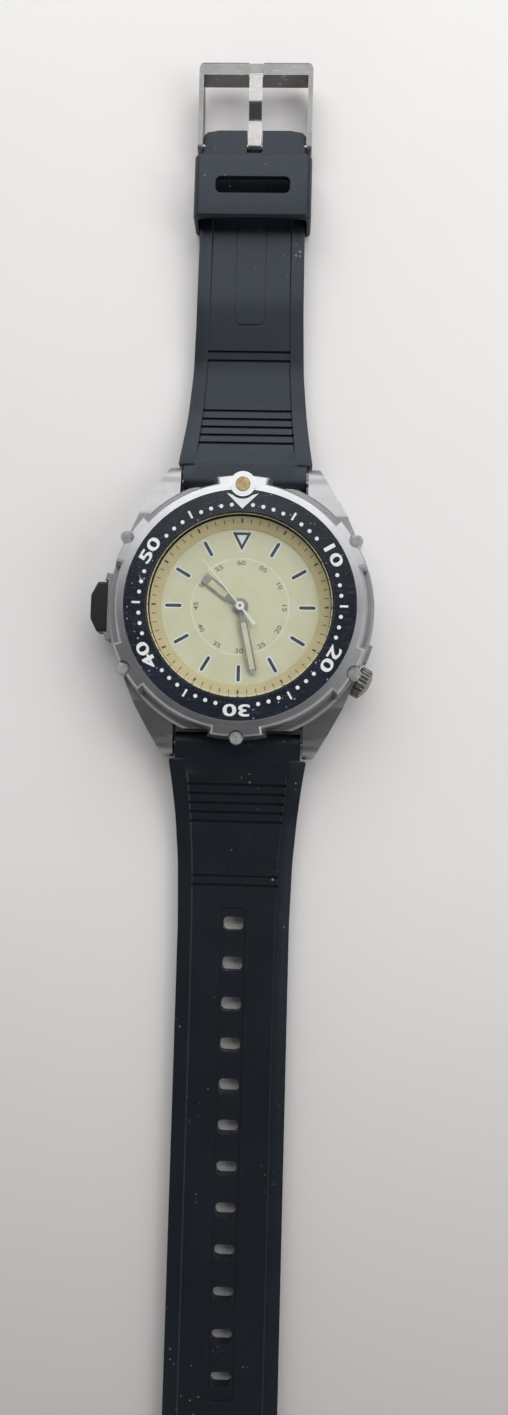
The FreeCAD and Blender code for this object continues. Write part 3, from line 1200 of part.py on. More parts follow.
def make_buckle():
    """Pin buckle: frame, bar and tongue."""
    bar_y, bar_z = cell.buckle_bar_place, cell.buckle_bar_height
    front, inner = cell.buckle_front_outer, cell.buckle_front_inner
    frame = Piece("buckle_frame")
    side_view = frame.sketch("YZ", 0)
    outline(side_view, [(bar_y - 1.45, bar_z - 1.4, 1.2), (bar_y + 1.8, 0.1, 3),
                        (bar_y + 7.8, 0.1, 4), (front, bar_z + 0.2, 0.6),
                        (front, bar_z + 2.6, 0.7), (bar_y + 4.8, bar_z + 1.9, 6),
                        (bar_y - 1.45, bar_z + 1.4, 1.3)])
    frame.pad(side_view, 2 * cell.buckle_half, both_ways=True)
    window = frame.sketch("XY", 20)
    arm_inner = cell.buckle_half - cell.buckle_arm
    rectangle(window, -arm_inner, arm_inner, bar_y - 8, inner)
    frame.pocket(window, 30)
    notch = frame.sketch("XY", 20)
    rectangle(notch, -1.25, 1.25, inner - 1, front + 1)
    frame.pocket(notch, 20 - (bar_z + 1.9))
    corners = frame.sketch("XY", 20)
    half = cell.buckle_half
    rectangle(corners, -20, 20, bar_y - 10, front + 10)
    outline(corners, [(-half, bar_y - 5), (half, bar_y - 5), (half, front, 1.5),
                      (-half, front, 1.5)])
    frame.pocket(corners, 30)
    holes = frame.sketch("YZ", 0)
    circle(holes, bar_y, bar_z, cell.buckle_bar_radius)
    frame.pocket(holes, 40, both_ways=True)

    bar = Piece("buckle_bar")
    end = bar.sketch("YZ", 0)
    circle(end, bar_y, bar_z, cell.buckle_bar_radius)
    bar.pad(end, 2 * cell.buckle_half - 0.1, both_ways=True)

    tongue = Piece("buckle_tongue")
    barrel = tongue.sketch("YZ", 0)
    circle(barrel, bar_y, bar_z, cell.buckle_bar_radius + 0.5)
    tongue.pad(barrel, cell.tongue_width, both_ways=True)
    blade = tongue.sketch("YZ", 0)
    reach = cell.tongue_reach
    outline(blade, [(bar_y, bar_z + 0.6), (bar_y + 4.2, bar_z + 0.6, 2), (86.3, bar_z + 1.75, 2),
                    (reach, bar_z + 2.05, 0.3), (reach, bar_z + 2.7, 0.3), (86.0, bar_z + 2.4, 2),
                    (bar_y + 4.0, bar_z + 1.25, 2), (bar_y, bar_z + 1.25)])
    tongue.pad(blade, cell.tongue_width, both_ways=True)
    bore = tongue.sketch("YZ", 0)
    circle(bore, bar_y, bar_z, cell.buckle_bar_radius + 0.08)
    tongue.pocket(bore, 10, both_ways=True)


# ---------------------------------------------------------------- build, test and write
for make in (make_case_middle, make_case_back, make_seals, make_glass, make_bezel,
             make_bezel_trim, make_bezel_holding, make_dial, make_hands, make_going_train,
             make_motion_works, make_main_plate, make_bridges, make_power, make_holder,
             make_crown, make_setting_works, make_light_button, make_spring_bars, make_strap,
             make_keeper, make_buckle):
    make()
doc.recompute()

failed = [item.Label for item in doc.Objects if {"Invalid", "Error"} & set(item.State)]
for node in nodes:
    if node.Shape.isNull() or not node.Shape.isValid() or not node.Shape.Solids:
        failed.append(node.Label)
if failed:
    raise RuntimeError("not built: " + ", ".join(sorted(set(failed))))
for node in nodes:
    node.Shape.exportStep(f"parts/{node.Label}.step")
    print(f"{node.Label:22s} solids {len(node.Shape.Solids)}  volume {node.Shape.Volume:9.3f} mm3")
print(len(nodes), "sub-parts")
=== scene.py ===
# %% [markdown]
# # A diver's quartz watch, lying open on a pale table
#
# The measured model gives every part its true size and place. This lesson gives the parts their
# looks: moulded rubber for the strap, printing for the bezel and dial, lume for the hands, and a
# procedural finish for every metal, plastic and rubber part, inside and out.
#
# The frame is in metres: +Y is 12 o'clock, +X is 3 o'clock and +Z comes up through the glass.

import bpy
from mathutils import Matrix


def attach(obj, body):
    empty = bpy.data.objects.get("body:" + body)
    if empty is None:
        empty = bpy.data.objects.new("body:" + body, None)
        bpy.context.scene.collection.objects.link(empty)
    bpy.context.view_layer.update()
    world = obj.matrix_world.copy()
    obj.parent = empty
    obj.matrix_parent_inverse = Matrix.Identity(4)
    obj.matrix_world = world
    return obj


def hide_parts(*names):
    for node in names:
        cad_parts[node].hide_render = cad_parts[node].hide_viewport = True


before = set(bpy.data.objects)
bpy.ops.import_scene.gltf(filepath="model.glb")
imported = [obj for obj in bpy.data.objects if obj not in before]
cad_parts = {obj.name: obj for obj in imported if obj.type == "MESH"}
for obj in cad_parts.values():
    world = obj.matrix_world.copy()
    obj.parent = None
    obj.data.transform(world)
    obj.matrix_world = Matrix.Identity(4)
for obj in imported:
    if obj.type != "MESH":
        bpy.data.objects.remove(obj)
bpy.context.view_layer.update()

# %% [markdown]
# ## Units, colours and reading a line
#
# A watch is easiest to think about in millimetres, so shapes are drawn in millimetres and scaled
# once, at the end. Colours are picked as everyday 0-255 numbers, and a shader wants linear light,
# so one function does that change.

# %% Millimetres, colour tones and written profiles
import math

import bmesh
import bpy
from mathutils import Matrix, Vector

MM = 0.001


def tone(red, green, blue):
    """An everyday colour as the linear red, green, blue and alpha that a shader reads."""
    def linear(level):
        level = level / 255
        return level / 12.92 if level < 0.04045 else ((level + 0.055) / 1.055) ** 2.4
    return (linear(red), linear(green), linear(blue), 1.0)


def read_line(stops, place):
    """The height or width of a written line of (place, value) stops at one place."""
    for (start, low), (end, high) in zip(stops, stops[1:]):
        if place <= end:
            return low + (high - low) * max(0.0, place - start) / (end - start)
    return stops[-1][1]


def clockwise(degrees):
    """A turn about the dial's axis, clockwise as the hands go."""
    return Matrix.Rotation(math.radians(-degrees), 4, "Z")


print("one millimetre is", MM, "and mid grey is", round(tone(128, 128, 128)[0], 3))

# %% [markdown]
# ## Turning a drawn shape into a piece
#
# Every new piece ends the same way: scale it to metres, point its faces outwards, give it a
# finish, and let it ride on the body it belongs to. Its object stays at the origin, with its
# place in its mesh, so patterns that read Object coordinates stay put when the piece moves.

# %% Finish a bmesh as a piece
def add_object(name, data):
    """A new object at the origin of the scene."""
    made = bpy.data.objects.new(name, data)
    bpy.context.scene.collection.objects.link(made)
    return made


def mesh_of(shape, name):
    """The mesh of a bmesh, which is then let go."""
    skin = bpy.data.meshes.new(name)
    shape.to_mesh(skin)
    shape.free()
    return skin


def ready_mesh(thing):
    """The mesh that an object has after its modifiers, or after its text is turned to faces."""
    bpy.context.view_layer.update()
    return bpy.data.meshes.new_from_object(
        thing.evaluated_get(bpy.context.evaluated_depsgraph_get()))


def shade(skin, sharp=35):
    """Smooth shading, except at edges sharper than an angle in degrees."""
    skin.polygons.foreach_set("use_smooth", [True] * len(skin.polygons))
    skin.set_sharp_from_angle(angle=math.radians(sharp))


def settle(shape, name, finish, body, sharp=35):
    """Makes a piece of a bmesh drawn in millimetres, riding on a body."""
    bmesh.ops.scale(shape, vec=(MM, MM, MM), verts=shape.verts)
    bmesh.ops.recalc_face_normals(shape, faces=shape.faces)
    skin = mesh_of(shape, name)
    shade(skin, sharp)
    skin.materials.append(finish)
    piece = add_object(name, skin)
    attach(piece, body)
    print(name, "has", len(skin.polygons), "faces and rides on", body)
    return piece


def dress(finish, *nodes):
    """Gives measured parts their finish."""
    for node in nodes:
        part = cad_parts[node]
        for held in part.material_slots:
            held.material = finish
        if not part.material_slots:
            part.data.materials.append(finish)
        dressed.add(node)


def soften(piece, width, angle=35, steps=2):
    """A Bevel modifier that rounds the sharp edges of a piece or of a measured part."""
    weld = piece.modifiers.new("Join the triangles", "WELD")
    weld.merge_threshold = 0.002 * MM
    edge = piece.modifiers.new("Rounded edges", "BEVEL")
    edge.width = width * MM
    edge.segments = steps
    edge.limit_method = "ANGLE"
    edge.angle_limit = math.radians(angle)


dressed = set()

# %% [markdown]
# ## Small flat shapes
#
# Printing, lume and inlays are all thin flats: discs, bars, outlines and rings. Each is drawn by
# one bmesh operator and has a real thickness, so it is closed and casts an honest edge.

# %% Discs, bars, outlines, rings and numerals
def round_edges(shape, edges, radius, steps, clamp=True):
    """Rounds some edges of a shape."""
    bmesh.ops.bevel(shape, geom=edges, offset=radius, offset_type="OFFSET", segments=steps,
                    profile=0.5, affect="EDGES", material=-1, clamp_overlap=clamp)


def add_disc(shape, radius, low, high, y=0.0, turn=Matrix()):
    """A flat round disc."""
    place = turn @ Matrix.Translation((0, y, (low + high) / 2))
    bmesh.ops.create_cone(shape, cap_ends=True, segments=28, radius1=radius, radius2=radius,
                          depth=high - low, matrix=place)


def add_block(shape, place, width, length, height, rounded=0.0, steps=4):
    """A block, with its upright edges rounded if asked."""
    size = Matrix.Diagonal((width, length, height, 1))
    made = bmesh.ops.create_cube(shape, size=1, matrix=place @ size)["verts"]
    if rounded:
        edges = dict.fromkeys(edge for corner in made for edge in corner.link_edges)
        upright = [edge for edge in edges
                   if abs(edge.verts[0].co.z - edge.verts[1].co.z) > height / 2]
        round_edges(shape, upright, rounded, steps)


def add_bar(shape, length, width, low, high, turn, middle, rounded=0.0):
    """A radial bar at a distance from the dial's axis, with rounded corners if asked."""
    place = turn @ Matrix.Translation((0, middle, (low + high) / 2))
    add_block(shape, place, width, length, high - low, rounded)


def add_outline(shape, corners, low, high):
    """A flat plate from a few corners, thickened upwards."""
    points = [shape.verts.new((x, y, low)) for x, y in corners]
    plate = shape.faces.new(points)
    raised = bmesh.ops.extrude_face_region(shape, geom=[plate])["geom"]
    lifted = [item for item in raised if isinstance(item, bmesh.types.BMVert)]
    bmesh.ops.translate(shape, vec=(0, 0, high - low), verts=lifted)


def spin_section(shape, section, axis, steps):
    """Spins a closed section all the way round an axis through the origin."""
    points = [shape.verts.new(corner) for corner in section]
    sides = [shape.edges.new((points[i - 1], points[i])) for i in range(len(points))]
    bmesh.ops.spin(shape, geom=points + sides, cent=(0, 0, 0), axis=axis, angle=math.tau,
                   steps=steps, use_merge=True)


def add_ring(shape, inner, outer, low, high):
    """A flat ring round the dial's axis."""
    section = ((inner, 0, low), (outer, 0, low), (outer, 0, high), (inner, 0, high))
    spin_section(shape, section, (0, 0, 1), 96)


def add_numerals(shape, words, height, stretch, low, high, turn, bold=0.0):
    """Numerals from a text curve, made a mesh before they are stretched and placed."""
    letters = bpy.data.curves.new("numerals", "FONT")
    letters.body = words
    letters.align_x = "CENTER"
    letters.align_y = "CENTER"
    letters.resolution_u = 4
    letters.offset = bold
    letters.extrude = 0.5
    holder = add_object("numerals", letters)
    flat = ready_mesh(holder)
    rise = [corner.co.y for corner in flat.vertices]
    size = height / (max(rise) - min(rise))
    middle = (max(rise) + min(rise)) / 2
    fit = Matrix.Diagonal((size * stretch, size, high - low, 1))
    flat.transform(turn @ Matrix.Translation((0, 0, (low + high) / 2)) @ fit
                   @ Matrix.Translation((0, -middle, 0)))
    shape.from_mesh(flat)
    bpy.data.objects.remove(holder)
    bpy.data.meshes.remove(flat)


print("flat shapes ready")

# %% [markdown]
# ## Effects that several finishes share
#
# Real metal and rubber are never one even colour. Grain from blasting, lines from the lathe, dust,
# scratches and worn edges come back on many parts, so each is a node group with its own inputs:
# built once here, and placed in each finish with its own numbers.

# %% A short way to write nodes
def add_node(tree, kind, sockets=None, **settings):
    """One shader node, with its sockets set to values or linked."""
    made = tree.nodes.new("ShaderNode" + kind)
    for name, value in settings.items():
        setattr(made, name, value)
    for name, value in (sockets or {}).items():
        if isinstance(value, bpy.types.NodeSocket):
            tree.links.new(value, made.inputs[name])
        else:
            made.inputs[name].default_value = value
    return made


def calculate(tree, operation, first, second, clamp=False):
    """One sum, product or comparison of two numbers."""
    return add_node(tree, "Math", {0: first, 1: second}, operation=operation,
                    use_clamp=clamp).outputs["Value"]


def spread(tree, value, **ends):
    """A number moved from one range to another, such as From_Min=0.3, From_Max=0.7."""
    sockets = {label.replace("_", " "): end for label, end in ends.items()}
    return add_node(tree, "MapRange", {"Value": value, **sockets}).outputs["Result"]


def noise(tree, place, per_metre, detail=2.0, **more):
    """Soft noise with so many features to the metre."""
    return add_node(tree, "TexNoise", {"Vector": place, "Scale": per_metre, "Detail": detail,
                                       **more}).outputs["Fac"]


def axis_distance(tree, place):
    """How far a place is from the dial's axis."""
    flat = add_node(tree, "VectorMath", {0: place, 1: (1, 1, 0)}, operation="MULTIPLY")
    return add_node(tree, "VectorMath", {0: flat.outputs["Vector"]},
                    operation="LENGTH").outputs["Value"]


def start_group(name, inputs):
    """An empty effect group with one output, Amount."""
    tree = bpy.data.node_groups.new(name, "ShaderNodeTree")
    tree.interface.new_socket("Place", in_out="INPUT", socket_type="NodeSocketVector")
    for label, value in inputs.items():
        made = tree.interface.new_socket(label, in_out="INPUT", socket_type="NodeSocketFloat")
        made.default_value = value
    tree.interface.new_socket("Amount", in_out="OUTPUT", socket_type="NodeSocketFloat")
    return tree, tree.nodes.new("NodeGroupInput").outputs, tree.nodes.new("NodeGroupOutput")


def end_group(tree, amount, leaving):
    tree.links.new(amount, leaving.inputs["Amount"])
    print("effect", tree.name, "has", len(tree.nodes), "nodes")
    return tree


# %% [markdown]
# Grain is what bead blasting or a mould's etched wall leaves: an even, fine pattern. Noise in
# Object coordinates gives it the same size all over the part, whatever the mesh is like.

# %% Fine grain
def build_grain():
    tree, given, leaving = start_group("Fine grain", {"Per metre": 4000.0, "Detail": 3.0})
    grit = noise(tree, given["Place"], given["Per metre"], given["Detail"], Roughness=0.6)
    return end_group(tree, spread(tree, grit, From_Min=0.3, From_Max=0.7), leaving)


GRAIN = build_grain()

# %% [markdown]
# A lathe leaves rings about the part's axis. Reading noise by the distance from the dial's axis
# makes rings of one brightness all the way round, which is just how turned metal looks.

# %% Turned rings
def build_turned():
    tree, given, leaving = start_group("Turned rings", {"Per metre": 9000.0})
    height = add_node(tree, "SeparateXYZ", {"Vector": given["Place"]}).outputs["Z"]
    ring = add_node(tree, "CombineXYZ", {"X": axis_distance(tree, given["Place"]), "Y": height})
    lines = noise(tree, ring.outputs["Vector"], given["Per metre"])
    return end_group(tree, spread(tree, lines, From_Min=0.3, From_Max=0.7), leaving)


TURNED = build_turned()

# %% [markdown]
# Scratches are long thin streaks that run in a few directions. Noise stretched thirty times along
# a turned axis, and cut off near its peaks, gives streaks; two directions together look chance.

# %% Scratches
def build_scratches():
    tree, given, leaving = start_group("Scratches", {"Per metre": 500.0, "Cover": 0.5})
    streaks = []
    for turn, start in ((0.5, 0.0), (-0.9, 3.0)):
        turned = add_node(tree, "Mapping", {"Vector": given["Place"],
                                            "Location": (start, start, 0),
                                            "Rotation": (0, 0, turn), "Scale": (1, 26, 1)})
        long = noise(tree, turned.outputs["Vector"], given["Per metre"])
        limit = spread(tree, given["Cover"], To_Min=0.8, To_Max=0.6)
        above = calculate(tree, "SUBTRACT", long, limit)
        streaks.append(calculate(tree, "MULTIPLY", above, 30.0, clamp=True))
    return end_group(tree, calculate(tree, "MAXIMUM", *streaks, clamp=True), leaving)


SCRATCHES = build_scratches()

# %% [markdown]
# Dust is scattered specks of uneven size. A Voronoi pattern gives one speck in each cell, and its
# cell colour decides which cells have one.

# %% Dust specks
def build_dust():
    tree, given, leaving = start_group("Dust specks", {"Per metre": 900.0, "Cover": 0.2,
                                                       "Speck": 0.16})
    cells = add_node(tree, "TexVoronoi", {"Vector": given["Place"], "Scale": given["Per metre"]})
    chance = add_node(tree, "SeparateColor", {"Color": cells.outputs["Color"]})
    size = calculate(tree, "MULTIPLY", chance.outputs["Green"], given["Speck"])
    near = calculate(tree, "LESS_THAN", cells.outputs["Distance"], size)
    held = calculate(tree, "LESS_THAN", chance.outputs["Red"], given["Cover"])
    return end_group(tree, calculate(tree, "MULTIPLY", near, held), leaving)


DUST = build_dust()

# %% [markdown]
# Edges wear first. A Bevel node looks at the surface as if its edges were round: where that
# differs from the true surface there is an edge, and there the metal is rubbed brighter.

# %% Edge wear
def build_wear():
    tree, given, leaving = start_group("Edge wear", {"Radius": 0.0003, "Strength": 3.0})
    soft = add_node(tree, "Bevel", {"Radius": given["Radius"]}, samples=6)
    true = add_node(tree, "NewGeometry")
    same = add_node(tree, "VectorMath", {0: soft.outputs["Normal"], 1: true.outputs["Normal"]},
                    operation="DOT_PRODUCT")
    edge = calculate(tree, "SUBTRACT", 1.0, same.outputs["Value"])
    strong = calculate(tree, "MULTIPLY", edge, given["Strength"])
    broken = noise(tree, given["Place"], 900.0)
    patch = calculate(tree, "MULTIPLY", strong, broken, clamp=True)
    return end_group(tree, patch, leaving)


WEAR = build_wear()

# %% [markdown]
# ## A finish, in words
#
# Each finish is a Principled shader with its plain numbers set on its own sockets, and with
# colour, roughness and bump that change over the surface. This small class only saves writing.

# %% The Finish helper
class Finish:
    """One procedural finish, built from shared effects."""

    def __init__(self, name, base, **plain):
        self.made = bpy.data.materials.new(name)
        self.made.use_nodes = True
        self.tree = self.made.node_tree
        self.shader = self.tree.nodes["Principled BSDF"]
        self.place = add_node(self.tree, "TexCoord").outputs["Object"]
        for label, value in plain.items():
            self.shader.inputs[label.replace("_", " ")].default_value = value
        self.colour = base

    def effect(self, group, **values):
        """Places a shared effect and gives its Amount."""
        held = add_node(self.tree, "Group", node_tree=group)
        self.tree.links.new(self.place, held.inputs["Place"])
        for label, value in values.items():
            held.inputs[label.replace("_", " ")].default_value = value
        return held.outputs["Amount"]

    def patches(self, per_metre, low=0.45, high=0.6):
        """Large soft patches, from 0 to 1."""
        return spread(self.tree, noise(self.tree, self.place, per_metre, 4.0), From_Min=low,
                      From_Max=high)

    def tint(self, amount, colour, most=1.0):
        """Mixes a colour in by a mask."""
        held = calculate(self.tree, "MULTIPLY", amount, most, clamp=True)
        mix = add_node(self.tree, "Mix", {"Factor": held, "A": self.colour, "B": colour},
                       data_type="RGBA")
        self.colour = mix.outputs["Result"]

    def gloss(self, amount, low, high):
        """Roughness from low to high by a mask."""
        self.tree.links.new(spread(self.tree, amount, To_Min=low, To_Max=high),
                            self.shader.inputs["Roughness"])

    def bump(self, height, depth):
        """A bump of so many millimetres."""
        made = add_node(self.tree, "Bump", {"Height": height, "Distance": depth * MM,
                                            "Strength": 1.0})
        if self.shader.inputs["Normal"].is_linked:
            before = self.shader.inputs["Normal"].links[0].from_socket
            self.tree.links.new(before, made.inputs["Normal"])
        self.tree.links.new(made.outputs["Normal"], self.shader.inputs["Normal"])

    def grain(self, per_metre, low, high, depth):
        """Fine grain, in the gloss and in the bump."""
        grit = self.effect(GRAIN, Per_metre=per_metre)
        self.gloss(grit, low, high)
        self.bump(grit, depth)

    def cover(self, amount, other):
        """Shows another shader in place of the finish, by a mask."""
        mix = add_node(self.tree, "MixShader", {0: amount, 1: self.shader.outputs["BSDF"],
                                                2: other})
        self.tree.links.new(mix.outputs["Shader"],
                            self.tree.nodes["Material Output"].inputs["Surface"])

    def done(self):
        """Gives the shader its colour, which is one plain value if nothing was mixed in."""
        if isinstance(self.colour, bpy.types.NodeSocket):
            self.tree.links.new(self.colour, self.shader.inputs["Base Color"])
        else:
            self.shader.inputs["Base Color"].default_value = self.colour
        print("finish", self.made.name)
        return self.made


# %% [markdown]
# ## Case metal
#
# The case and lugs are bead-blasted steel: matt and neutral grey, with bright rubbed edges and a
# few scratches. Grain gives the bump and the uneven gloss; edge wear lightens the corners. The
# bezel's top is modelled flat, so a broad bump makes it catch light as if it sloped outwards.

# %% Blasted steel, turned steel and the crown
def shaded(colour, share):
    """The same colour, darker or lighter by a share."""
    return tuple(level * share for level in colour[:3]) + (1.0,)


def metal(name, base, worn, low, high, grain=5000.0, depth=0.002, edge=2.5, turned=0.0,
          scratched=0.5, dished=0.0):
    """A blasted or turned metal with worn edges. dished is how far its flats slope outwards."""
    finish = Finish(name, base, Metallic=1.0)
    finish.tint(finish.patches(260.0), shaded(base, 0.8), 0.5)
    finish.grain(grain, low, high, depth)
    if turned:
        rings = finish.effect(TURNED, Per_metre=turned)
        finish.tint(rings, shaded(base, 0.82), 0.6)
        finish.bump(rings, depth)
    if dished:
        reach = axis_distance(finish.tree, finish.place)
        finish.bump(calculate(finish.tree, "MULTIPLY", reach, -dished), 1 / MM)
    if scratched:
        finish.tint(finish.effect(SCRATCHES, Cover=scratched), worn, 0.4)
    if edge:
        finish.tint(finish.effect(WEAR, Strength=edge), worn, 0.8)
    return finish.done()


CASE_STEEL = metal("Blasted case steel", tone(156, 156, 158), tone(222, 222, 223), 0.34, 0.48,
                   depth=0.004)
BEZEL_STEEL = metal("Satin bezel steel", tone(186, 187, 190), tone(238, 239, 240), 0.3, 0.42,
                    turned=7000.0, edge=3.0, dished=0.15)
BACK_STEEL = metal("Turned back steel", tone(176, 173, 170), tone(226, 224, 222), 0.22, 0.36,
                   turned=11000.0, scratched=0.7)
CROWN_STEEL = metal("Fluted winder steel", tone(128, 126, 122), tone(232, 230, 226), 0.2, 0.34,
                    edge=3.0)
BUCKLE_STEEL = metal("Buckle steel", tone(132, 131, 130), tone(204, 203, 202), 0.34, 0.5,
                     scratched=0.7)
TONGUE_STEEL = metal("Polished tongue steel", tone(152, 151, 150), tone(224, 223, 222), 0.17,
                     0.28, depth=0.001, scratched=0.6)
SPRING_STEEL = metal("Spring steel", tone(168, 168, 168), tone(220, 220, 220), 0.2, 0.34,
                     depth=0.001, edge=1.5, scratched=0.3)
CELL_STEEL = metal("Cell can nickel", tone(200, 199, 196), tone(235, 235, 233), 0.16, 0.3,
                   depth=0.001, scratched=0.5)
PLATE_METAL = metal("Nickelled plate", tone(186, 184, 176), tone(226, 224, 218), 0.3, 0.44,
                    grain=7000.0, scratched=0.2)
ROTOR_METAL = metal("Rotor magnet and soft iron", tone(126, 126, 130), tone(190, 190, 194),
                    0.34, 0.5, scratched=0.3)
WHEEL_BRASS = metal("Wheel brass", tone(203, 168, 98), tone(236, 210, 150), 0.22, 0.36,
                    turned=14000.0, depth=0.001, edge=2.0, scratched=0.2)
COIL_COPPER = metal("Enamelled copper wire", tone(176, 92, 52), tone(220, 140, 90), 0.25, 0.4,
                    grain=9000.0, depth=0.004, edge=1.0, scratched=0.0)

dress(CASE_STEEL, "case_middle", "crown_tube")
dress(BEZEL_STEEL, "bezel_ring")
dress(BACK_STEEL, "case_back")
dress(CROWN_STEEL, "crown")
dress(BUCKLE_STEEL, "buckle_frame")
dress(TONGUE_STEEL, "buckle_tongue", "buckle_bar")
for node, width in (("case_middle", 0.18), ("bezel_ring", 0.12), ("buckle_frame", 0.15),
                    ("buckle_tongue", 0.12)):
    soften(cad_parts[node], width)
print(len(dressed), "parts dressed")

# %% [markdown]
# ## Rubber and plastic
#
# The strap is polyurethane rubber moulded in an etched steel mould: near black with a blue cast,
# satin, and dusty in its corners. A dielectric with fine grain does it. The seals are smoother
# and softer, and the inner plastics are plain moulded ones.

# %% Strap rubber, seals and plastics
def rubber(name, base, low, high, grain, depth, dust=0.0, **plain):
    """Moulded rubber or plastic: fine grain, paler patches, worn edges and dust if asked."""
    finish = Finish(name, base, Metallic=0.0, **plain)
    finish.tint(finish.patches(120.0), shaded(base, 1.5), 0.5)
    finish.grain(grain, low, high, depth)
    if dust:
        specks = finish.effect(DUST, Per_metre=1500.0, Cover=dust, Speck=0.3)
        where = finish.patches(90.0, 0.54, 0.66)
        finish.tint(calculate(finish.tree, "MULTIPLY", specks, where), tone(150, 152, 156), 0.7)
    finish.tint(finish.effect(WEAR, Radius=0.0004, Strength=1.2), tone(86, 92, 102), 0.3)
    return finish.done()


STRAP_RUBBER = rubber("Moulded strap rubber", tone(20, 25, 31), 0.35, 0.47, 2600.0, 0.008,
                      dust=0.2, IOR=1.48, Specular_Tint=tone(226, 238, 255))
SEAL_RUBBER = rubber("Seal rubber", tone(30, 30, 31), 0.3, 0.42, 3000.0, 0.003)
BUTTON_BLACK = rubber("Black button plastic", tone(20, 20, 22), 0.3, 0.44, 3000.0, 0.006,
                      dust=0.06)
HOLDER_PLASTIC = rubber("Holder plastic", tone(198, 194, 184), 0.42, 0.55, 2600.0, 0.006)
CHIP_PLASTIC = rubber("Chip plastic", tone(24, 24, 26), 0.36, 0.5, 5000.0, 0.004)
dress(SEAL_RUBBER, *[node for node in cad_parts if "gasket" in node or "seal" in node])
dress(BUTTON_BLACK, "light_button")
dress(HOLDER_PLASTIC, "movement_holder", "dial_spacer")
print(len(dressed), "parts dressed")

# %% [markdown]
# ## The inner works
#
# Almost nobody sees the movement, but a watchmaker will open the back. Wheels are turned brass,
# plates are nickelled, the coil is enamelled copper, and the circuit board is green solder mask
# with copper showing faintly through it.

# %% Dress the movement
def board_finish():
    finish = Finish("Green solder mask", tone(24, 84, 48), Metallic=0.0, IOR=1.5)
    tracks = add_node(finish.tree, "TexBrick", {"Vector": finish.place, "Scale": 900.0,
                                                "Mortar Size": 0.08})
    finish.tint(tracks.outputs["Fac"], tone(60, 122, 70))
    finish.tint(finish.effect(DUST, Per_metre=1500.0, Cover=0.3, Speck=0.5),
                tone(196, 170, 100))
    finish.gloss(finish.effect(GRAIN, Per_metre=5000.0), 0.28, 0.42)
    finish.bump(tracks.outputs["Fac"], 0.01)
    return finish.done()


def printed(name, base, shade, low=0.4, high=0.55, grain=3000.0, amount=0.4, depth=0.003,
            **plain):
    """Paint, print or lacquer: a colour with a second shade in soft patches."""
    finish = Finish(name, base, Metallic=0.0, **plain)
    finish.tint(finish.patches(400.0), shade, amount)
    finish.grain(grain, low, high, depth)
    return finish.done()


dress(board_finish(), "circuit_board")
dress(CHIP_PLASTIC, "timing_chip")
dress(COIL_COPPER, "coil_winding")
dress(CELL_STEEL, "coin_cell", "quartz_can")
dress(PLATE_METAL, "main_plate", "train_bridge", "circuit_cover")
dress(ROTOR_METAL, "rotor", "stator")
dress(WHEEL_BRASS, "cannon_pinion", "setting_wheel",
      *[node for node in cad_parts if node.endswith("_wheel")])
dress(SPRING_STEEL, "bezel_click_spring", "lamp_contact_springs", "button_spring", "button_clip",
      "button_stem", "cell_clamp", "cell_clamp_screws", "light_switch_blade", "spring_bar_tubes",
      "spring_bar_tips", "setting_lever", "clutch_yoke", "movement_screws", "winding_stem",
      "sliding_clutch")
dress(printed("Printed lamp panel", tone(206, 210, 184), tone(188, 192, 160)),
      "dial_lamp_panel")
print(len(dressed), "parts dressed")

# %% [markdown]
# ## Bezel insert, pip and glass
#
# The insert is a blue-black printed ring, scuffed where hands and sleeves rub it: scratches and
# dust show pale on it. The pip is aged lume, tan and mottled. The glass is a thick flat mineral
# crystal. Shadow rays pass through it, so the dial below isn't darkened by its own window.

# %% Dress the bezel trim
def insert_finish():
    finish = Finish("Blue-black insert", tone(21, 28, 39), Metallic=0.0, IOR=1.5)
    finish.tint(finish.patches(150.0), tone(32, 40, 54), 0.8)
    scuffs = finish.effect(SCRATCHES, Per_metre=300.0, Cover=0.55)
    finish.tint(scuffs, tone(96, 104, 116), 0.35)
    finish.tint(finish.effect(DUST, Per_metre=1600.0, Cover=0.22, Speck=0.26),
                tone(176, 182, 188), 0.75)
    finish.tint(finish.effect(WEAR, Radius=0.0002, Strength=2.0), tone(150, 156, 164), 0.6)
    finish.gloss(finish.effect(GRAIN, Per_metre=3500.0), 0.2, 0.32)
    finish.bump(scuffs, 0.006)
    return finish.done()


def pip_finish(name, base, dark, spot):
    finish = Finish(name, base, Metallic=0.0, IOR=1.5)
    finish.tint(finish.patches(1500.0, 0.4, 0.6), dark, 0.8)
    finish.tint(finish.effect(DUST, Per_metre=3200.0, Cover=0.5, Speck=0.5), spot, 0.6)
    finish.grain(6000.0, 0.42, 0.6, 0.02)
    return finish.done()


def glass_finish():
    finish = Finish("Mineral glass", tone(252, 253, 252), Metallic=0.0, IOR=1.5,
                    Transmission_Weight=1.0)
    finish.gloss(finish.effect(GRAIN, Per_metre=2000.0), 0.0, 0.02)
    clear = add_node(finish.tree, "BsdfTransparent", {"Color": tone(250, 251, 250)})
    shadow = add_node(finish.tree, "LightPath").outputs["Is Shadow Ray"]
    finish.cover(shadow, clear.outputs["BSDF"])
    return finish.done()


dress(insert_finish(), "bezel_insert")
PIP_LUME = pip_finish("Aged pip lume", tone(194, 172, 128), tone(160, 136, 92),
                      tone(214, 198, 160))
STUD_GREY = pip_finish("Stud cap grey", tone(162, 163, 160), tone(134, 136, 134),
                       tone(206, 208, 204))
dress(PIP_LUME, "bezel_pip")
dress(glass_finish(), "crystal")
print(len(dressed), "parts dressed")

# %% [markdown]
# ## Dial, chapter ring and hands
#
# The dial is a lamp dial: a greenish ivory film that lights up from behind. The sloped chapter
# ring round it is a yellower ivory. The hands are grey lacquer with a lume fill, and the second
# hand is white. Print and lacquer get faint patches and grain so that they don't look flat.

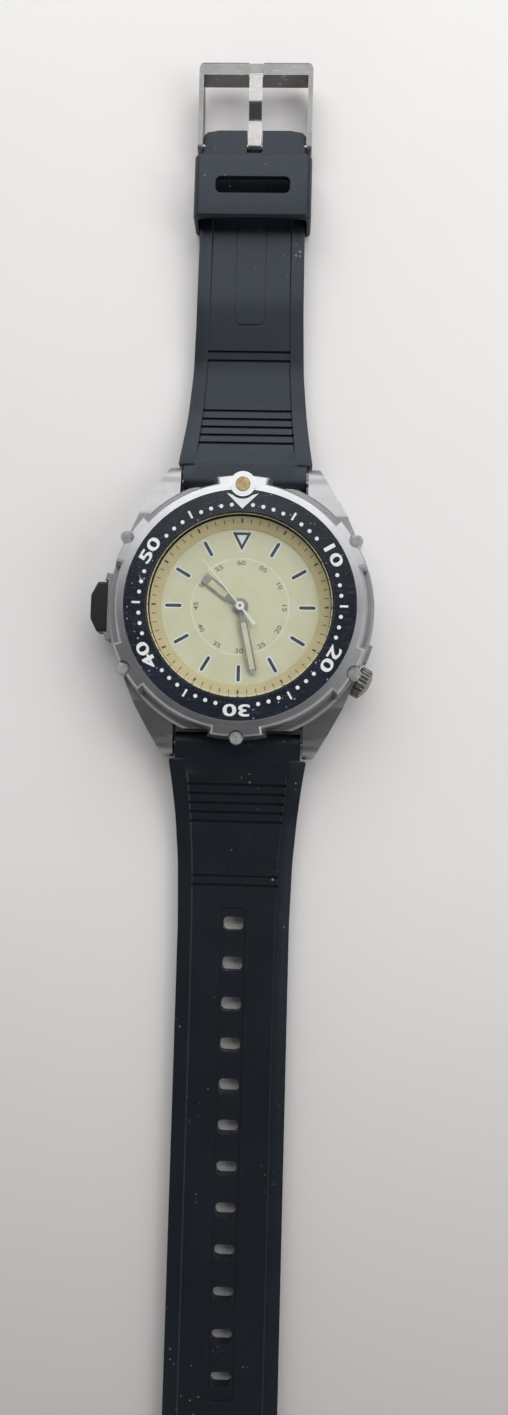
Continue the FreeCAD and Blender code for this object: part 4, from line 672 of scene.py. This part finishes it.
# %% Dress the dial
DIAL_IVORY = printed("Ivory lamp dial", tone(209, 207, 180), tone(201, 200, 168), 0.42, 0.5,
                     2500.0, 0.5, 0.002)
CHAPTER_YELLOW = printed("Chapter ring ivory", tone(202, 189, 146), tone(192, 177, 131))
HAND_GREY = printed("Grey hand lacquer", tone(160, 162, 158), tone(132, 134, 132), 0.25, 0.35,
                    5000.0, 0.5, 0.001, Coat_Weight=0.3)
HAND_WHITE = printed("White hand lacquer", tone(228, 228, 224), tone(208, 208, 204), 0.25, 0.35,
                     5000.0, 0.3, 0.001)
MARK_WHITE = printed("White bezel print", tone(244, 245, 245), tone(220, 222, 224), 0.4, 0.5,
                     5000.0, 0.4)
# This dark print also makes the dark line of painted shade round the hands' lume.
DARK_PRINT_AND_SHADE = printed("Dark print and painted shade", tone(66, 70, 76), tone(44, 48, 52), 0.4, 0.5, 5000.0, 0.5)
MARK_GREY = printed("Grey dial print", tone(104, 106, 96), tone(90, 92, 84))
MARK_HALO = printed("Pale hour mark rim", tone(226, 232, 234), tone(210, 218, 222))
HAND_LUME = printed("Hand lume", tone(206, 204, 178), tone(190, 188, 160), 0.5, 0.6, 7000.0,
                    0.5, 0.008)
dress(DIAL_IVORY, "dial")
dress(CHAPTER_YELLOW, "chapter_ring")
dress(HAND_GREY, "hour_hand", "minute_hand")
dress(HAND_WHITE, "second_hand")
print(len(dressed), "parts dressed")

# %% [markdown]
# ## Printing on the bezel insert
#
# The insert carries an hour's worth of diving minutes: a white triangle at 12, numerals every ten
# minutes, a bar at each odd five and a dot at every other minute. On the real ring they are
# pad-printed. Here they are flats a hundredth of a millimetre thick, so they turn with the bezel.

# %% Bezel marks
INSERT_PRINT = (10.722, 10.737)
PIP_PLACE, BOSS_EDGE = 18.95, 2.32
TRIANGLE = [(-2.5, 17.5), (0, 15.04), (2.5, 17.5)]


def make_bezel_marks():
    shape = bmesh.new()
    for minute in range(1, 60):
        turn = clockwise(minute * 6)
        beside_numeral = minute % 10 in (1, 9) and 5 < minute < 55
        if minute % 10 == 5:
            add_bar(shape, 1.3, 0.33, *INSERT_PRINT, turn, 16.1, rounded=0.08)
        elif minute % 10 and not beside_numeral:
            add_disc(shape, 0.31, *INSERT_PRINT, y=15.73, turn=turn)
    for words in ("10", "20", "30", "40", "50"):
        turn = clockwise(int(words) * 6) @ Matrix.Translation((0, 16.42, 0))
        add_numerals(shape, words, 1.9, 1.72, *INSERT_PRINT, turn, bold=0.022)
    bite = [(BOSS_EDGE * math.sin(way), PIP_PLACE - BOSS_EDGE * math.cos(way))
            for way in (math.radians(turn) for turn in range(42, -43, -6))]
    add_outline(shape, TRIANGLE + bite, *INSERT_PRINT)
    settle(shape, "bezel_marks", MARK_WHITE, "bezel")


make_bezel_marks()

# %% [markdown]
# Each of the five studs has a grey mottled cap: a short disc whose rim is softened by one bevel.

# %% Stud caps
STUD_CAP = (10.256, 10.34)


def make_stud_caps():
    shape = bmesh.new()
    for lobe in range(1, 6):
        add_disc(shape, 0.98, *STUD_CAP, y=20.65, turn=clockwise(lobe * 60))
    rims = [edge for edge in shape.edges if min(corner.co.z for corner in edge.verts) > 10.3]
    round_edges(shape, rims, 0.06, 2, clamp=False)
    settle(shape, "stud_caps", STUD_GREY, "bezel")


make_stud_caps()

# %% [markdown]
# ## Printing on the dial
#
# Eleven hour bars and a triangle, each a dark core in a pale rim, then a faint circle with small
# numerals inside it. The rim is printed first and the core over it, so the core sits a little
# higher. The lower numerals stand the right way up for the reader, as on the real dial.

# %% Dial marks
DIAL_TOP = 8.002
FINE_PRINT = (DIAL_TOP, DIAL_TOP + 0.01)
RIM_PRINT = (DIAL_TOP, DIAL_TOP + 0.012)
CORE_PRINT = (DIAL_TOP + 0.013, DIAL_TOP + 0.03)
FILL_PRINT = (DIAL_TOP + 0.031, DIAL_TOP + 0.045)


def make_hour_marks():
    rims, cores = bmesh.new(), bmesh.new()
    for hour in range(1, 12):
        turn = clockwise(hour * 30)
        add_bar(rims, 3.0, 0.94, *RIM_PRINT, turn, 10.5, rounded=0.46)
        add_bar(cores, 2.6, 0.52, *CORE_PRINT, turn, 10.5, rounded=0.25)
    add_outline(rims, [(-1.75, 11.98), (0, 8.55), (1.75, 11.98)], *RIM_PRINT)
    add_outline(cores, [(-1.5, 11.83), (0, 8.9), (1.5, 11.83)], *CORE_PRINT)
    settle(rims, "hour_mark_rims", MARK_HALO, "case")
    settle(cores, "hour_mark_cores", DARK_PRINT_AND_SHADE, "case")
    fill = bmesh.new()
    add_outline(fill, [(-0.8, 11.38), (0, 9.82), (0.8, 11.38)], *FILL_PRINT)
    add_ring(fill, 7.6, 7.7, *FINE_PRINT)
    settle(fill, "dial_white_print", MARK_HALO, "case")


def make_dial_numerals():
    shape = bmesh.new()
    for five in range(12):
        words = "60" if five == 0 else f"{five * 5:02d}"
        way = clockwise(five * 30) @ Matrix.Translation((0, 6.95, 0))
        if 4 <= five <= 8:
            way = way @ Matrix.Rotation(math.pi, 4, "Z")
        add_numerals(shape, words, 0.72, 1.35, *FINE_PRINT, way, bold=0.012)
    settle(shape, "dial_numerals", MARK_GREY, "case")


make_hour_marks()
make_dial_numerals()

# %% [markdown]
# The minute ticks lie on the chapter ring's slope. Each is a thin plate tilted by the slope's own
# angle; every fifth one is wider.

# %% Chapter ring ticks
CHAPTER_FOOT, CHAPTER_HEAD = (12.4, 8.2), (14.1, 9.05)
CHAPTER_SLOPE = math.atan2(CHAPTER_HEAD[1] - CHAPTER_FOOT[1], CHAPTER_HEAD[0] - CHAPTER_FOOT[0])
TICK_PLACE, TICK_CLEAR, TICK_THICK = 13.5, 0.004, 0.012


def make_minute_ticks():
    shape = bmesh.new()
    height = CHAPTER_FOOT[1] + (TICK_PLACE - CHAPTER_FOOT[0]) * math.tan(CHAPTER_SLOPE)
    lean = Matrix.Translation((0, TICK_PLACE, height + TICK_CLEAR))
    lean = lean @ Matrix.Rotation(CHAPTER_SLOPE, 4, "X")
    for minute in range(60):
        width = 0.3 if minute % 5 == 0 else 0.13
        add_bar(shape, 0.7, width, 0.0, TICK_THICK, clockwise(minute * 6) @ lean, 0)
    settle(shape, "minute_ticks", DARK_PRINT_AND_SHADE, "case")


make_minute_ticks()

# %% [markdown]
# ## Lume in the hands
#
# Each hand is a grey frame with a window of lume. The fill stands a little proud of the metal,
# and a dark line round it is painted shade, where the frame's edge shades the lume.

# %% Hand lume and hub
HOUR_WAY, MINUTE_WAY = 308.0, 167.5
HUB_DOT = (9.142, 9.155)


def make_hand_fill(name, body, way, low, length, middle, width, edge):
    """A dark line of painted shade and a pale fill over it, both riding on the hand's body."""
    line, fill = bmesh.new(), bmesh.new()
    # The line is painted shade: a dark rim round the lume where the frame's edge shades it.
    add_bar(line, length + edge, width + edge, low, low + 0.012, clockwise(way), middle,
            rounded=0.12)
    add_bar(fill, length, width, low + 0.013, low + 0.05, clockwise(way), middle, rounded=0.1)
    settle(line, name + "_edge", DARK_PRINT_AND_SHADE, body)
    settle(fill, name + "_lume", HAND_LUME, body)


make_hand_fill("hour_hand", "hour_works", HOUR_WAY, 8.342, 3.5, 4.45, 1.1, 0.14)
make_hand_fill("minute_hand", "minute_works", MINUTE_WAY, 8.692, 7.5, 6.4, 0.84,
               0.14)


def make_hub_dot():
    shape = bmesh.new()
    add_disc(shape, 0.2, *HUB_DOT)
    settle(shape, "second_hand_hub_dot", DARK_PRINT_AND_SHADE, "second_works")


make_hub_dot()

# %% [markdown]
# ## The strap's outline and profile
#
# Both strap pieces come from one mould family: a barrel that turns on the spring bar, a shoulder
# against the lugs, a taper, and raised rails along both sides with a flat valley between them.
# The written lines below give the half-width, the rail's inner edge, the top and the underside at
# each distance from the dial's axis. They are the measured model's own numbers.

# %% Strap lines
STRAP_START, BUCKLE_END, HOLE_END = 19.52, 81.6, 138.0
TAPER_START, END_TAPER = 50, 0.25
BARREL_PLACE, BARREL_HEIGHT, BARREL = 21.3, 3.4, 1.8
BAR_PLACE, BAR_HEIGHT = 79.2, 2.45
HALF_WIDTH = [(19.0, 9.95), (23.79, 9.95), (23.81, 10.35), (23.95, 10.85), (24.2, 10.87),
              (27.6, 10.35), (32.7, 9.75), (40, 9.15), (50, 8.85), (140, 8.85)]
RAIL_EDGE = [(19.0, 8.8), (24.3, 8.8), (28, 8.2), (34, 7.6), (43, 6.9), (61, 6.65),
             (140, 6.65)]
LEVEL_TOP = [(19.0, 5.2), (22.0, 5.08), (26, 4.65), (33, 2.85), (41, 2.4), (140, 2.4)]
LEVEL_FOOT = [(19.0, 1.5), (22.0, 1.6), (25.5, 1.2), (34, 0), (140, 0)]
RAISED_TOP = [(19.0, 5.2), (22.0, 5.08), (26, 4.65), (33, 2.85), (41, 2.4), (52, 3.65),
              (140, 3.65)]
RAISED_FOOT = [(19.0, 1.5), (22.0, 1.6), (25.5, 1.2), (34, 0), (41, 0), (52, 1.25),
               (140, 1.25)]
CROSS_GROOVES = [27.8 + 1.47 * n for n in range(5)] + [42.3, 43.75]
GROOVE_HALF, GROOVE_DEPTH = 0.17, 0.4
VALLEY_EDGE, RAIL_COLUMN, RAIL_CREST = 0.74, 0.765, 0.79
VALLEY_DEPTH, RAIL_FALL = 0.2, 0.42


def eased(stops, place):
    """A written line with its corners eased, as the mould's are."""
    return sum(read_line(stops, place + step) for step in (-1.2, -0.6, 0, 0.6, 1.2)) / 5


def barrel_limit(place):
    """How far above and below its axis the strap may reach: the barrel rounds its near end."""
    off = place - BARREL_PLACE
    return math.sqrt(max(0.0, BARREL ** 2 - off ** 2)) if off < 0 else 2 * BARREL


def strap_half(place, end, corner):
    """The half-width, with the far end's rounded corners."""
    half = eased(HALF_WIDTH, place) if place > 25.5 else read_line(HALF_WIDTH, place)
    if end == BUCKLE_END:
        half -= END_TAPER * max(0.0, place - TAPER_START) / (BUCKLE_END - TAPER_START)
    past = place - (end - corner)
    return half - corner + math.sqrt(max(0.0, corner ** 2 - past ** 2)) if past > 0 else half


print("strap lines ready;", len(CROSS_GROOVES), "cross grooves")

# %% [markdown]
# ## Moulding a strap piece
#
# A grid is the natural start: its columns follow the rails and its rows follow the length. Each
# row or column that a detail needs is cut in with bisect_plane, so the grooves have crisp walls
# without a dense mesh. The flat grid is then laid on the written lines and extruded to the
# underside, which closes it. Holes are moulded by cores, so they are cut by core-shaped solids.

# %% The strap blank
def strap_rows(end, corner):
    """Every row the strap needs: the barrel, the shoulder, each groove and the rounded end."""
    rows = [STRAP_START, 19.6, 19.8, 20.1, 20.5, 21.0, 21.5, 22.2, 23.0, 23.79, 23.81, 23.95, 24.2]
    rows += [25 + 0.9 * n for n in range(int((end - corner - 25) / 0.9) + 1)]
    for groove in CROSS_GROOVES:
        rows += [groove - GROOVE_HALF - 0.07, groove - GROOVE_HALF, groove + GROOVE_HALF,
                 groove + GROOVE_HALF + 0.07]
    rows += [end - corner * (1 - math.sin(math.radians(turn))) for turn in range(0, 86, 9)]
    return sorted(rows)


def strap_blank(side, end, corner, top, foot):
    """A closed strap body in millimetres. side is 1 towards 12 o'clock and -1 towards 6."""
    shape = bmesh.new()
    middle = Matrix.Translation((0, (STRAP_START + end) / 2, 0))
    stretch = Matrix.Diagonal((1, (end - STRAP_START) / 2, 1, 1))
    bmesh.ops.create_grid(shape, x_segments=1, y_segments=1, size=1, matrix=middle @ stretch)
    cuts = [((u, 0, 0), (1, 0, 0)) for s in (1, -1) for u in
            (0.0, s * 0.37, s * VALLEY_EDGE, s * RAIL_COLUMN, s * RAIL_CREST, s * 0.9)]
    cuts += [((0, row, 0), (0, 1, 0)) for row in strap_rows(end, corner)]
    for point, across in cuts:
        bmesh.ops.bisect_plane(shape, geom=shape.verts[:] + shape.edges[:] + shape.faces[:],
                               dist=0.0001, plane_co=point, plane_no=across)
    lower = bmesh.ops.extrude_face_region(shape, geom=shape.faces[:])["geom"]
    underside = {item for item in lower if isinstance(item, bmesh.types.BMVert)}
    for point in shape.verts:
        u, place = point.co.x, point.co.y
        half = strap_half(place, end, corner)
        rail = min(eased(RAIL_EDGE, place), half * 0.76)
        apart = abs(u)
        if apart <= RAIL_COLUMN:
            x = rail * apart / RAIL_COLUMN
        else:
            x = rail + (half - rail) * (apart - RAIL_COLUMN) / (1 - RAIL_COLUMN)
        if point in underside:
            z = max(eased(foot, place), BARREL_HEIGHT - barrel_limit(place))
        else:
            z = min(eased(top, place), BARREL_HEIGHT + barrel_limit(place))
            past_barrel = min(1.0, max(0.0, place - 22.5))
            z -= RAIL_FALL * max(0.0, apart - RAIL_CREST) / (1 - RAIL_CREST) * past_barrel
            if apart <= VALLEY_EDGE + 0.001:
                plain_end = min(1.0, max(0.0, (end - 5.4 - place) / 0.8)) if side > 0 else 1.0
                sunk = min(1.0, max(0.0, (place - 24.4) / 0.8)) * plain_end
                z -= VALLEY_DEPTH * sunk
                if any(abs(place - groove) < GROOVE_HALF + 0.01 for groove in CROSS_GROOVES):
                    z -= GROOVE_DEPTH
        point.co = (math.copysign(x, u) if u else 0.0, side * place, z)
    bmesh.ops.recalc_face_normals(shape, faces=shape.faces)
    return shape


def core_cut(piece, cores, name):
    """Cuts core-shaped solids out of a strap piece and bakes the result into its mesh."""
    bmesh.ops.recalc_face_normals(cores, faces=cores.faces)
    bmesh.ops.scale(cores, vec=(MM, MM, MM), verts=cores.verts)
    tool = add_object(name, mesh_of(cores, name))
    cut = piece.modifiers.new("Core", "BOOLEAN")
    cut.object = tool
    cut.operation = "DIFFERENCE"
    cut.solver = "EXACT"
    ready = ready_mesh(piece)
    piece.modifiers.remove(cut)
    piece.data = ready
    bpy.data.objects.remove(tool)
    shade(ready)
    print(name, "cut;", len(ready.polygons), "faces")


def lying_core(shape, radius, y, z):
    """A round core along the strap's width, for a bar or a spring bar."""
    place = Matrix.Translation((0, y, z)) @ Matrix.Rotation(math.pi / 2, 4, "Y")
    bmesh.ops.create_cone(shape, cap_ends=True, segments=32, radius1=radius, radius2=radius,
                          depth=24, matrix=place)


def upright_core(shape, half, y_low, y_high, z_low, z_high, radius):
    """An upright core with rounded corners, on the strap's middle line."""
    middle = Matrix.Translation((0, (y_low + y_high) / 2, (z_low + z_high) / 2))
    add_block(shape, middle, 2 * half, y_high - y_low, z_high - z_low, radius, steps=5)


print("moulding tools ready")

# %% [markdown]
# The buckle side has a raised outline strip down its middle and a slot for the tongue. The strip
# is a narrow groove that runs round three sides, so its core is a long loop: the outer block
# less the inner one, following the strap's rise.

# %% The strap's buckle side
def strip_core(shape, half, near, far, depth, wall, line):
    """A loop-shaped core that scores a rounded outline into the valley."""
    corner = [(half - 1 + math.sin(math.radians(turn)), near + 1 - math.cos(math.radians(turn)))
              for turn in (0, 30, 60, 90)]
    bend = [(-x, y) for x, y in reversed(corner)] + corner
    rows = [near + 1.5 * n for n in range(1, int((far - near) / 1.5) + 1)] + [far]
    path = [(-half, row) for row in reversed(rows)] + bend + [(half, row) for row in rows]
    rings = []
    for index, (x, y) in enumerate(path):
        before, after = path[max(0, index - 1)], path[min(len(path) - 1, index + 1)]
        way = Vector((after[0] - before[0], after[1] - before[1])).normalized()
        out = Vector((way.y, -way.x)) * wall / 2
        floor = eased(line, y) - VALLEY_DEPTH - depth
        rings.append([shape.verts.new((x + sign * out.x, y + sign * out.y, z))
                      for sign, z in ((1, floor), (-1, floor), (-1, floor + 2), (1, floor + 2))])
    loops = [[shape.edges.new((ring[i - 1], ring[i])) for i in range(4)] for ring in rings]
    for first, second in zip(loops, loops[1:]):
        bmesh.ops.bridge_loops(shape, edges=first + second)
    shape.faces.new(rings[0])
    shape.faces.new(list(reversed(rings[-1])))


def make_buckle_side():
    blank = strap_blank(1, BUCKLE_END, 1.2, RAISED_TOP, RAISED_FOOT)
    piece = settle(blank, "strap_upper", STRAP_RUBBER, "upper_strap")
    cores = bmesh.new()
    lying_core(cores, 0.95, BARREL_PLACE, BARREL_HEIGHT)
    lying_core(cores, 0.86, BAR_PLACE, BAR_HEIGHT)
    strip_core(cores, 2.45, 48.2, 77.0, 0.14, 0.22, RAISED_TOP)
    core_cut(piece, cores, "upper_cores")
    slot = bmesh.new()
    upright_core(slot, 1.3, 77.7, 86.0, -2, 8, 0.15)
    core_cut(piece, slot, "tongue_slot")
    soften(piece, 0.1, 40)
    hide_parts("strap_buckle_side")


make_buckle_side()

# %% [markdown]
# The hole side has a long sunk panel down its middle with twelve rounded holes for the tongue.

# %% The strap's hole side
HOLES, FIRST_HOLE, HOLE_STEP = 12, 49.8, 6.29
PANEL_FLOOR = 2.2 - 0.22


def make_hole_side():
    blank = strap_blank(-1, HOLE_END, 8.2, LEVEL_TOP, LEVEL_FOOT)
    piece = settle(blank, "strap_lower", STRAP_RUBBER, "lower_strap")
    panel = bmesh.new()
    upright_core(panel, 2.1, -122.3, -47.2, PANEL_FLOOR, 6, 1.1)
    lying_core(panel, 0.95, -BARREL_PLACE, BARREL_HEIGHT)
    core_cut(piece, panel, "panel_core")
    holes = bmesh.new()
    for count in range(HOLES):
        middle = -FIRST_HOLE - HOLE_STEP * count
        upright_core(holes, 1.6, middle - 1.1, middle + 1.1, -2, 6, 0.7)
    core_cut(piece, holes, "hole_cores")
    soften(piece, 0.1, 40)
    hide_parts("strap_hole_side")


make_hole_side()

# %% [markdown]
# ## The keeper
#
# The keeper is a thick rubber loop with generous rounded edges. The measured loop is right in
# shape but sharp, so a copy of it is merged, its flat faces joined, and its edges rounded.

# %% The keeper loop
KEEPER_ENDS = (64.9, 75.8)


def on_outer_rim(point):
    """Whether a point is on the outside contour of one of the loop's two ends."""
    at_end = min(abs(point.y - end) for end in KEEPER_ENDS) < 0.01
    return at_end and (abs(point.x) > 9.0 or point.z > 5.7 or point.z < 1.1)


def make_keeper():
    shape = bmesh.new()
    shape.from_mesh(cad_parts["keeper_loop"].data)
    bmesh.ops.scale(shape, vec=(1 / MM, 1 / MM, 1 / MM), verts=shape.verts)
    bmesh.ops.remove_doubles(shape, verts=shape.verts, dist=0.002)
    bmesh.ops.dissolve_limit(shape, angle_limit=math.radians(2), verts=shape.verts,
                             edges=shape.edges)
    outer = [edge for edge in shape.edges
             if abs(edge.verts[0].co.y - edge.verts[1].co.y) < 0.01
             and all(on_outer_rim(corner.co) for corner in edge.verts)]
    round_edges(shape, outer, 0.5, 4)
    print("rounded", len(outer), "outer edges of the keeper")
    piece = settle(shape, "keeper_rubber", STRAP_RUBBER, "keeper", sharp=50)
    soften(piece, 0.14, 40, 2)
    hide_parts("keeper_loop")


make_keeper()

# %% [markdown]
# The crown is spun from the measured one's outline, with its well for the tube. Then every second
# pair of columns is drawn in, which leaves deep flutes between broad ridges.

# %% The fluted crown
CROWN_AXIS_HEIGHT = 4.6
CROWN_AXIS_TURN = math.radians(-30)
CROWN_SECTION = ((21.2, 1.95), (21.2, 2.2), (21.5, 2.5), (22.95, 2.5), (23.2, 2.2),
                 (23.6, 1.3), (23.75, 0.5), (22.9, 0.5), (22.9, 1.42), (22.0, 1.42),
                 (22.0, 1.95))
FLUTES, FLUTE_FLOOR, FLUTE_END = 22, 2.18, 23.1
COLUMNS = 4 * FLUTES


def make_crown():
    shape = bmesh.new()
    section = [(reach, radius, 0) for reach, radius in CROWN_SECTION]
    spin_section(shape, section, (1, 0, 0), COLUMNS)
    for corner in shape.verts:
        radius = math.hypot(corner.co.y, corner.co.z)
        column = round(math.atan2(corner.co.z, corner.co.y) / math.tau * COLUMNS) % 4
        if column > 1 and radius > FLUTE_FLOOR and corner.co.x < FLUTE_END:
            corner.co.y *= FLUTE_FLOOR / radius
            corner.co.z *= FLUTE_FLOOR / radius
    bmesh.ops.transform(shape, verts=shape.verts,
                        matrix=Matrix.Translation((0, 0, CROWN_AXIS_HEIGHT))
                        @ Matrix.Rotation(CROWN_AXIS_TURN, 4, "Z"))
    piece = settle(shape, "crown_grip", CROWN_STEEL, "crown_works", sharp=30)
    soften(piece, 0.07, 30)
    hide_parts("crown")


make_crown()
dress(STRAP_RUBBER, "strap_buckle_side", "strap_hole_side", "keeper_loop")
print("still plain:", sorted(set(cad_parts) - dressed))

# %% [markdown]
# ## Table, light and camera
#
# The watch lies on a pale table under a large soft lamp beyond 12 o'clock and a weaker one on the
# crown's side. The far side is bright, and the table darkens towards the strap's tail, partly from
# the lamp and partly from painted shade in the table's colour. Far out, the table glows faintly to
# the eye alone, so that it has no dark edge. It is a stage piece: it isn't part of the watch.

# %% Table
def make_table():
    shape = bmesh.new()
    bmesh.ops.create_grid(shape, x_segments=1, y_segments=1, size=2.0,
                          matrix=Matrix.Translation((0, 0, -0.0001)))
    skin = mesh_of(shape, "table")
    finish = Finish("Pale table", tone(245, 243, 242), Metallic=0.0, IOR=1.4)
    finish.tint(finish.patches(14.0, 0.4, 0.7), tone(240, 237, 235), 0.6)
    # Painted shade: the table's colour darkens towards the strap's tail (-Y), standing in for the
    # lamp's fall-off there.
    apart = add_node(finish.tree, "SeparateXYZ", {"Vector": finish.place})
    near = spread(finish.tree, apart.outputs["Y"], From_Min=-0.04, From_Max=-0.16)
    finish.tint(near, tone(200, 195, 193))
    finish.gloss(finish.effect(GRAIN, Per_metre=300.0), 0.55, 0.7)
    reach = add_node(finish.tree, "VectorMath", {0: finish.place}, operation="LENGTH")
    far = add_node(finish.tree, "MapRange", {"Value": reach.outputs["Value"], "From Min": 0.22,
                                             "From Max": 0.6}, interpolation_type="SMOOTHSTEP")
    path = add_node(finish.tree, "LightPath")
    seen = path.outputs["Is Camera Ray"]
    for kind in ("Is Glossy Ray", "Is Transmission Ray"):
        seen = calculate(finish.tree, "MAXIMUM", seen, path.outputs[kind])
    pale = add_node(finish.tree, "Emission", {"Color": (0.75, 0.75, 0.75, 1), "Strength": 1.0})
    finish.cover(calculate(finish.tree, "MULTIPLY", far.outputs["Result"], seen),
                 pale.outputs["Emission"])
    skin.materials.append(finish.done())
    add_object("table", skin)


make_table()
print("table ready")

# %% [markdown]
# A lamp's power and size set how bright a white card looks; the room's level sets how dark the
# shadows are. The room is pale at the horizon and dimmer overhead.

# %% Lamp and room
def make_lamp(name, place, size, power, target):
    """A soft oval lamp; size is its width and its height."""
    light = bpy.data.lights.new(name, "AREA")
    light.shape = "ELLIPSE"
    light.size, light.size_y = size
    light.energy = power
    lamp = add_object(name, light)
    lamp.location = place
    lamp.rotation_euler = (Vector(target) - lamp.location).to_track_quat("-Z", "Y").to_euler()


def make_room():
    room = bpy.data.worlds.new("Room")
    bpy.context.scene.world = room
    room.use_nodes = True
    tree = room.node_tree
    way = add_node(tree, "TexCoord").outputs["Generated"]
    rise = add_node(tree, "SeparateXYZ", {"Vector": way}).outputs["Z"]
    level = spread(tree, rise, From_Min=0.2, From_Max=0.7, To_Min=0.75, To_Max=0.12)
    back = tree.nodes["Background"]
    tree.links.new(level, back.inputs["Color"])
    back.inputs["Strength"].default_value = 1.0


make_lamp("window lamp", (0.0, 0.33, 0.33), (0.8, 0.46), 1.9, (0, 0, 0))
make_lamp("side lamp", (0.34, -0.02, 0.30), (0.3, 0.3), 0.5, (0, -0.02, 0))
make_room()
print("lamp and room ready")

# %% [markdown]
# The camera looks almost straight down from a hand's length above the glass, turned a degree or
# two, with a wide lens.

# %% Camera
def make_camera():
    lens = bpy.data.cameras.new("camera")
    lens.sensor_width = 36
    lens.sensor_fit = "AUTO"
    lens.lens = 26.0
    lens.clip_start = 0.001
    camera = add_object("camera", lens)
    camera.location = (0.0077, -0.0283, 0.1666)
    camera.rotation_euler = [math.radians(turn) for turn in (4.58, 1.73, 1.54)]
    bpy.context.scene.camera = camera
    bpy.context.scene.view_settings.view_transform = "Standard"
    print("the camera looks from", tuple(round(level, 4) for level in camera.location))


make_camera()
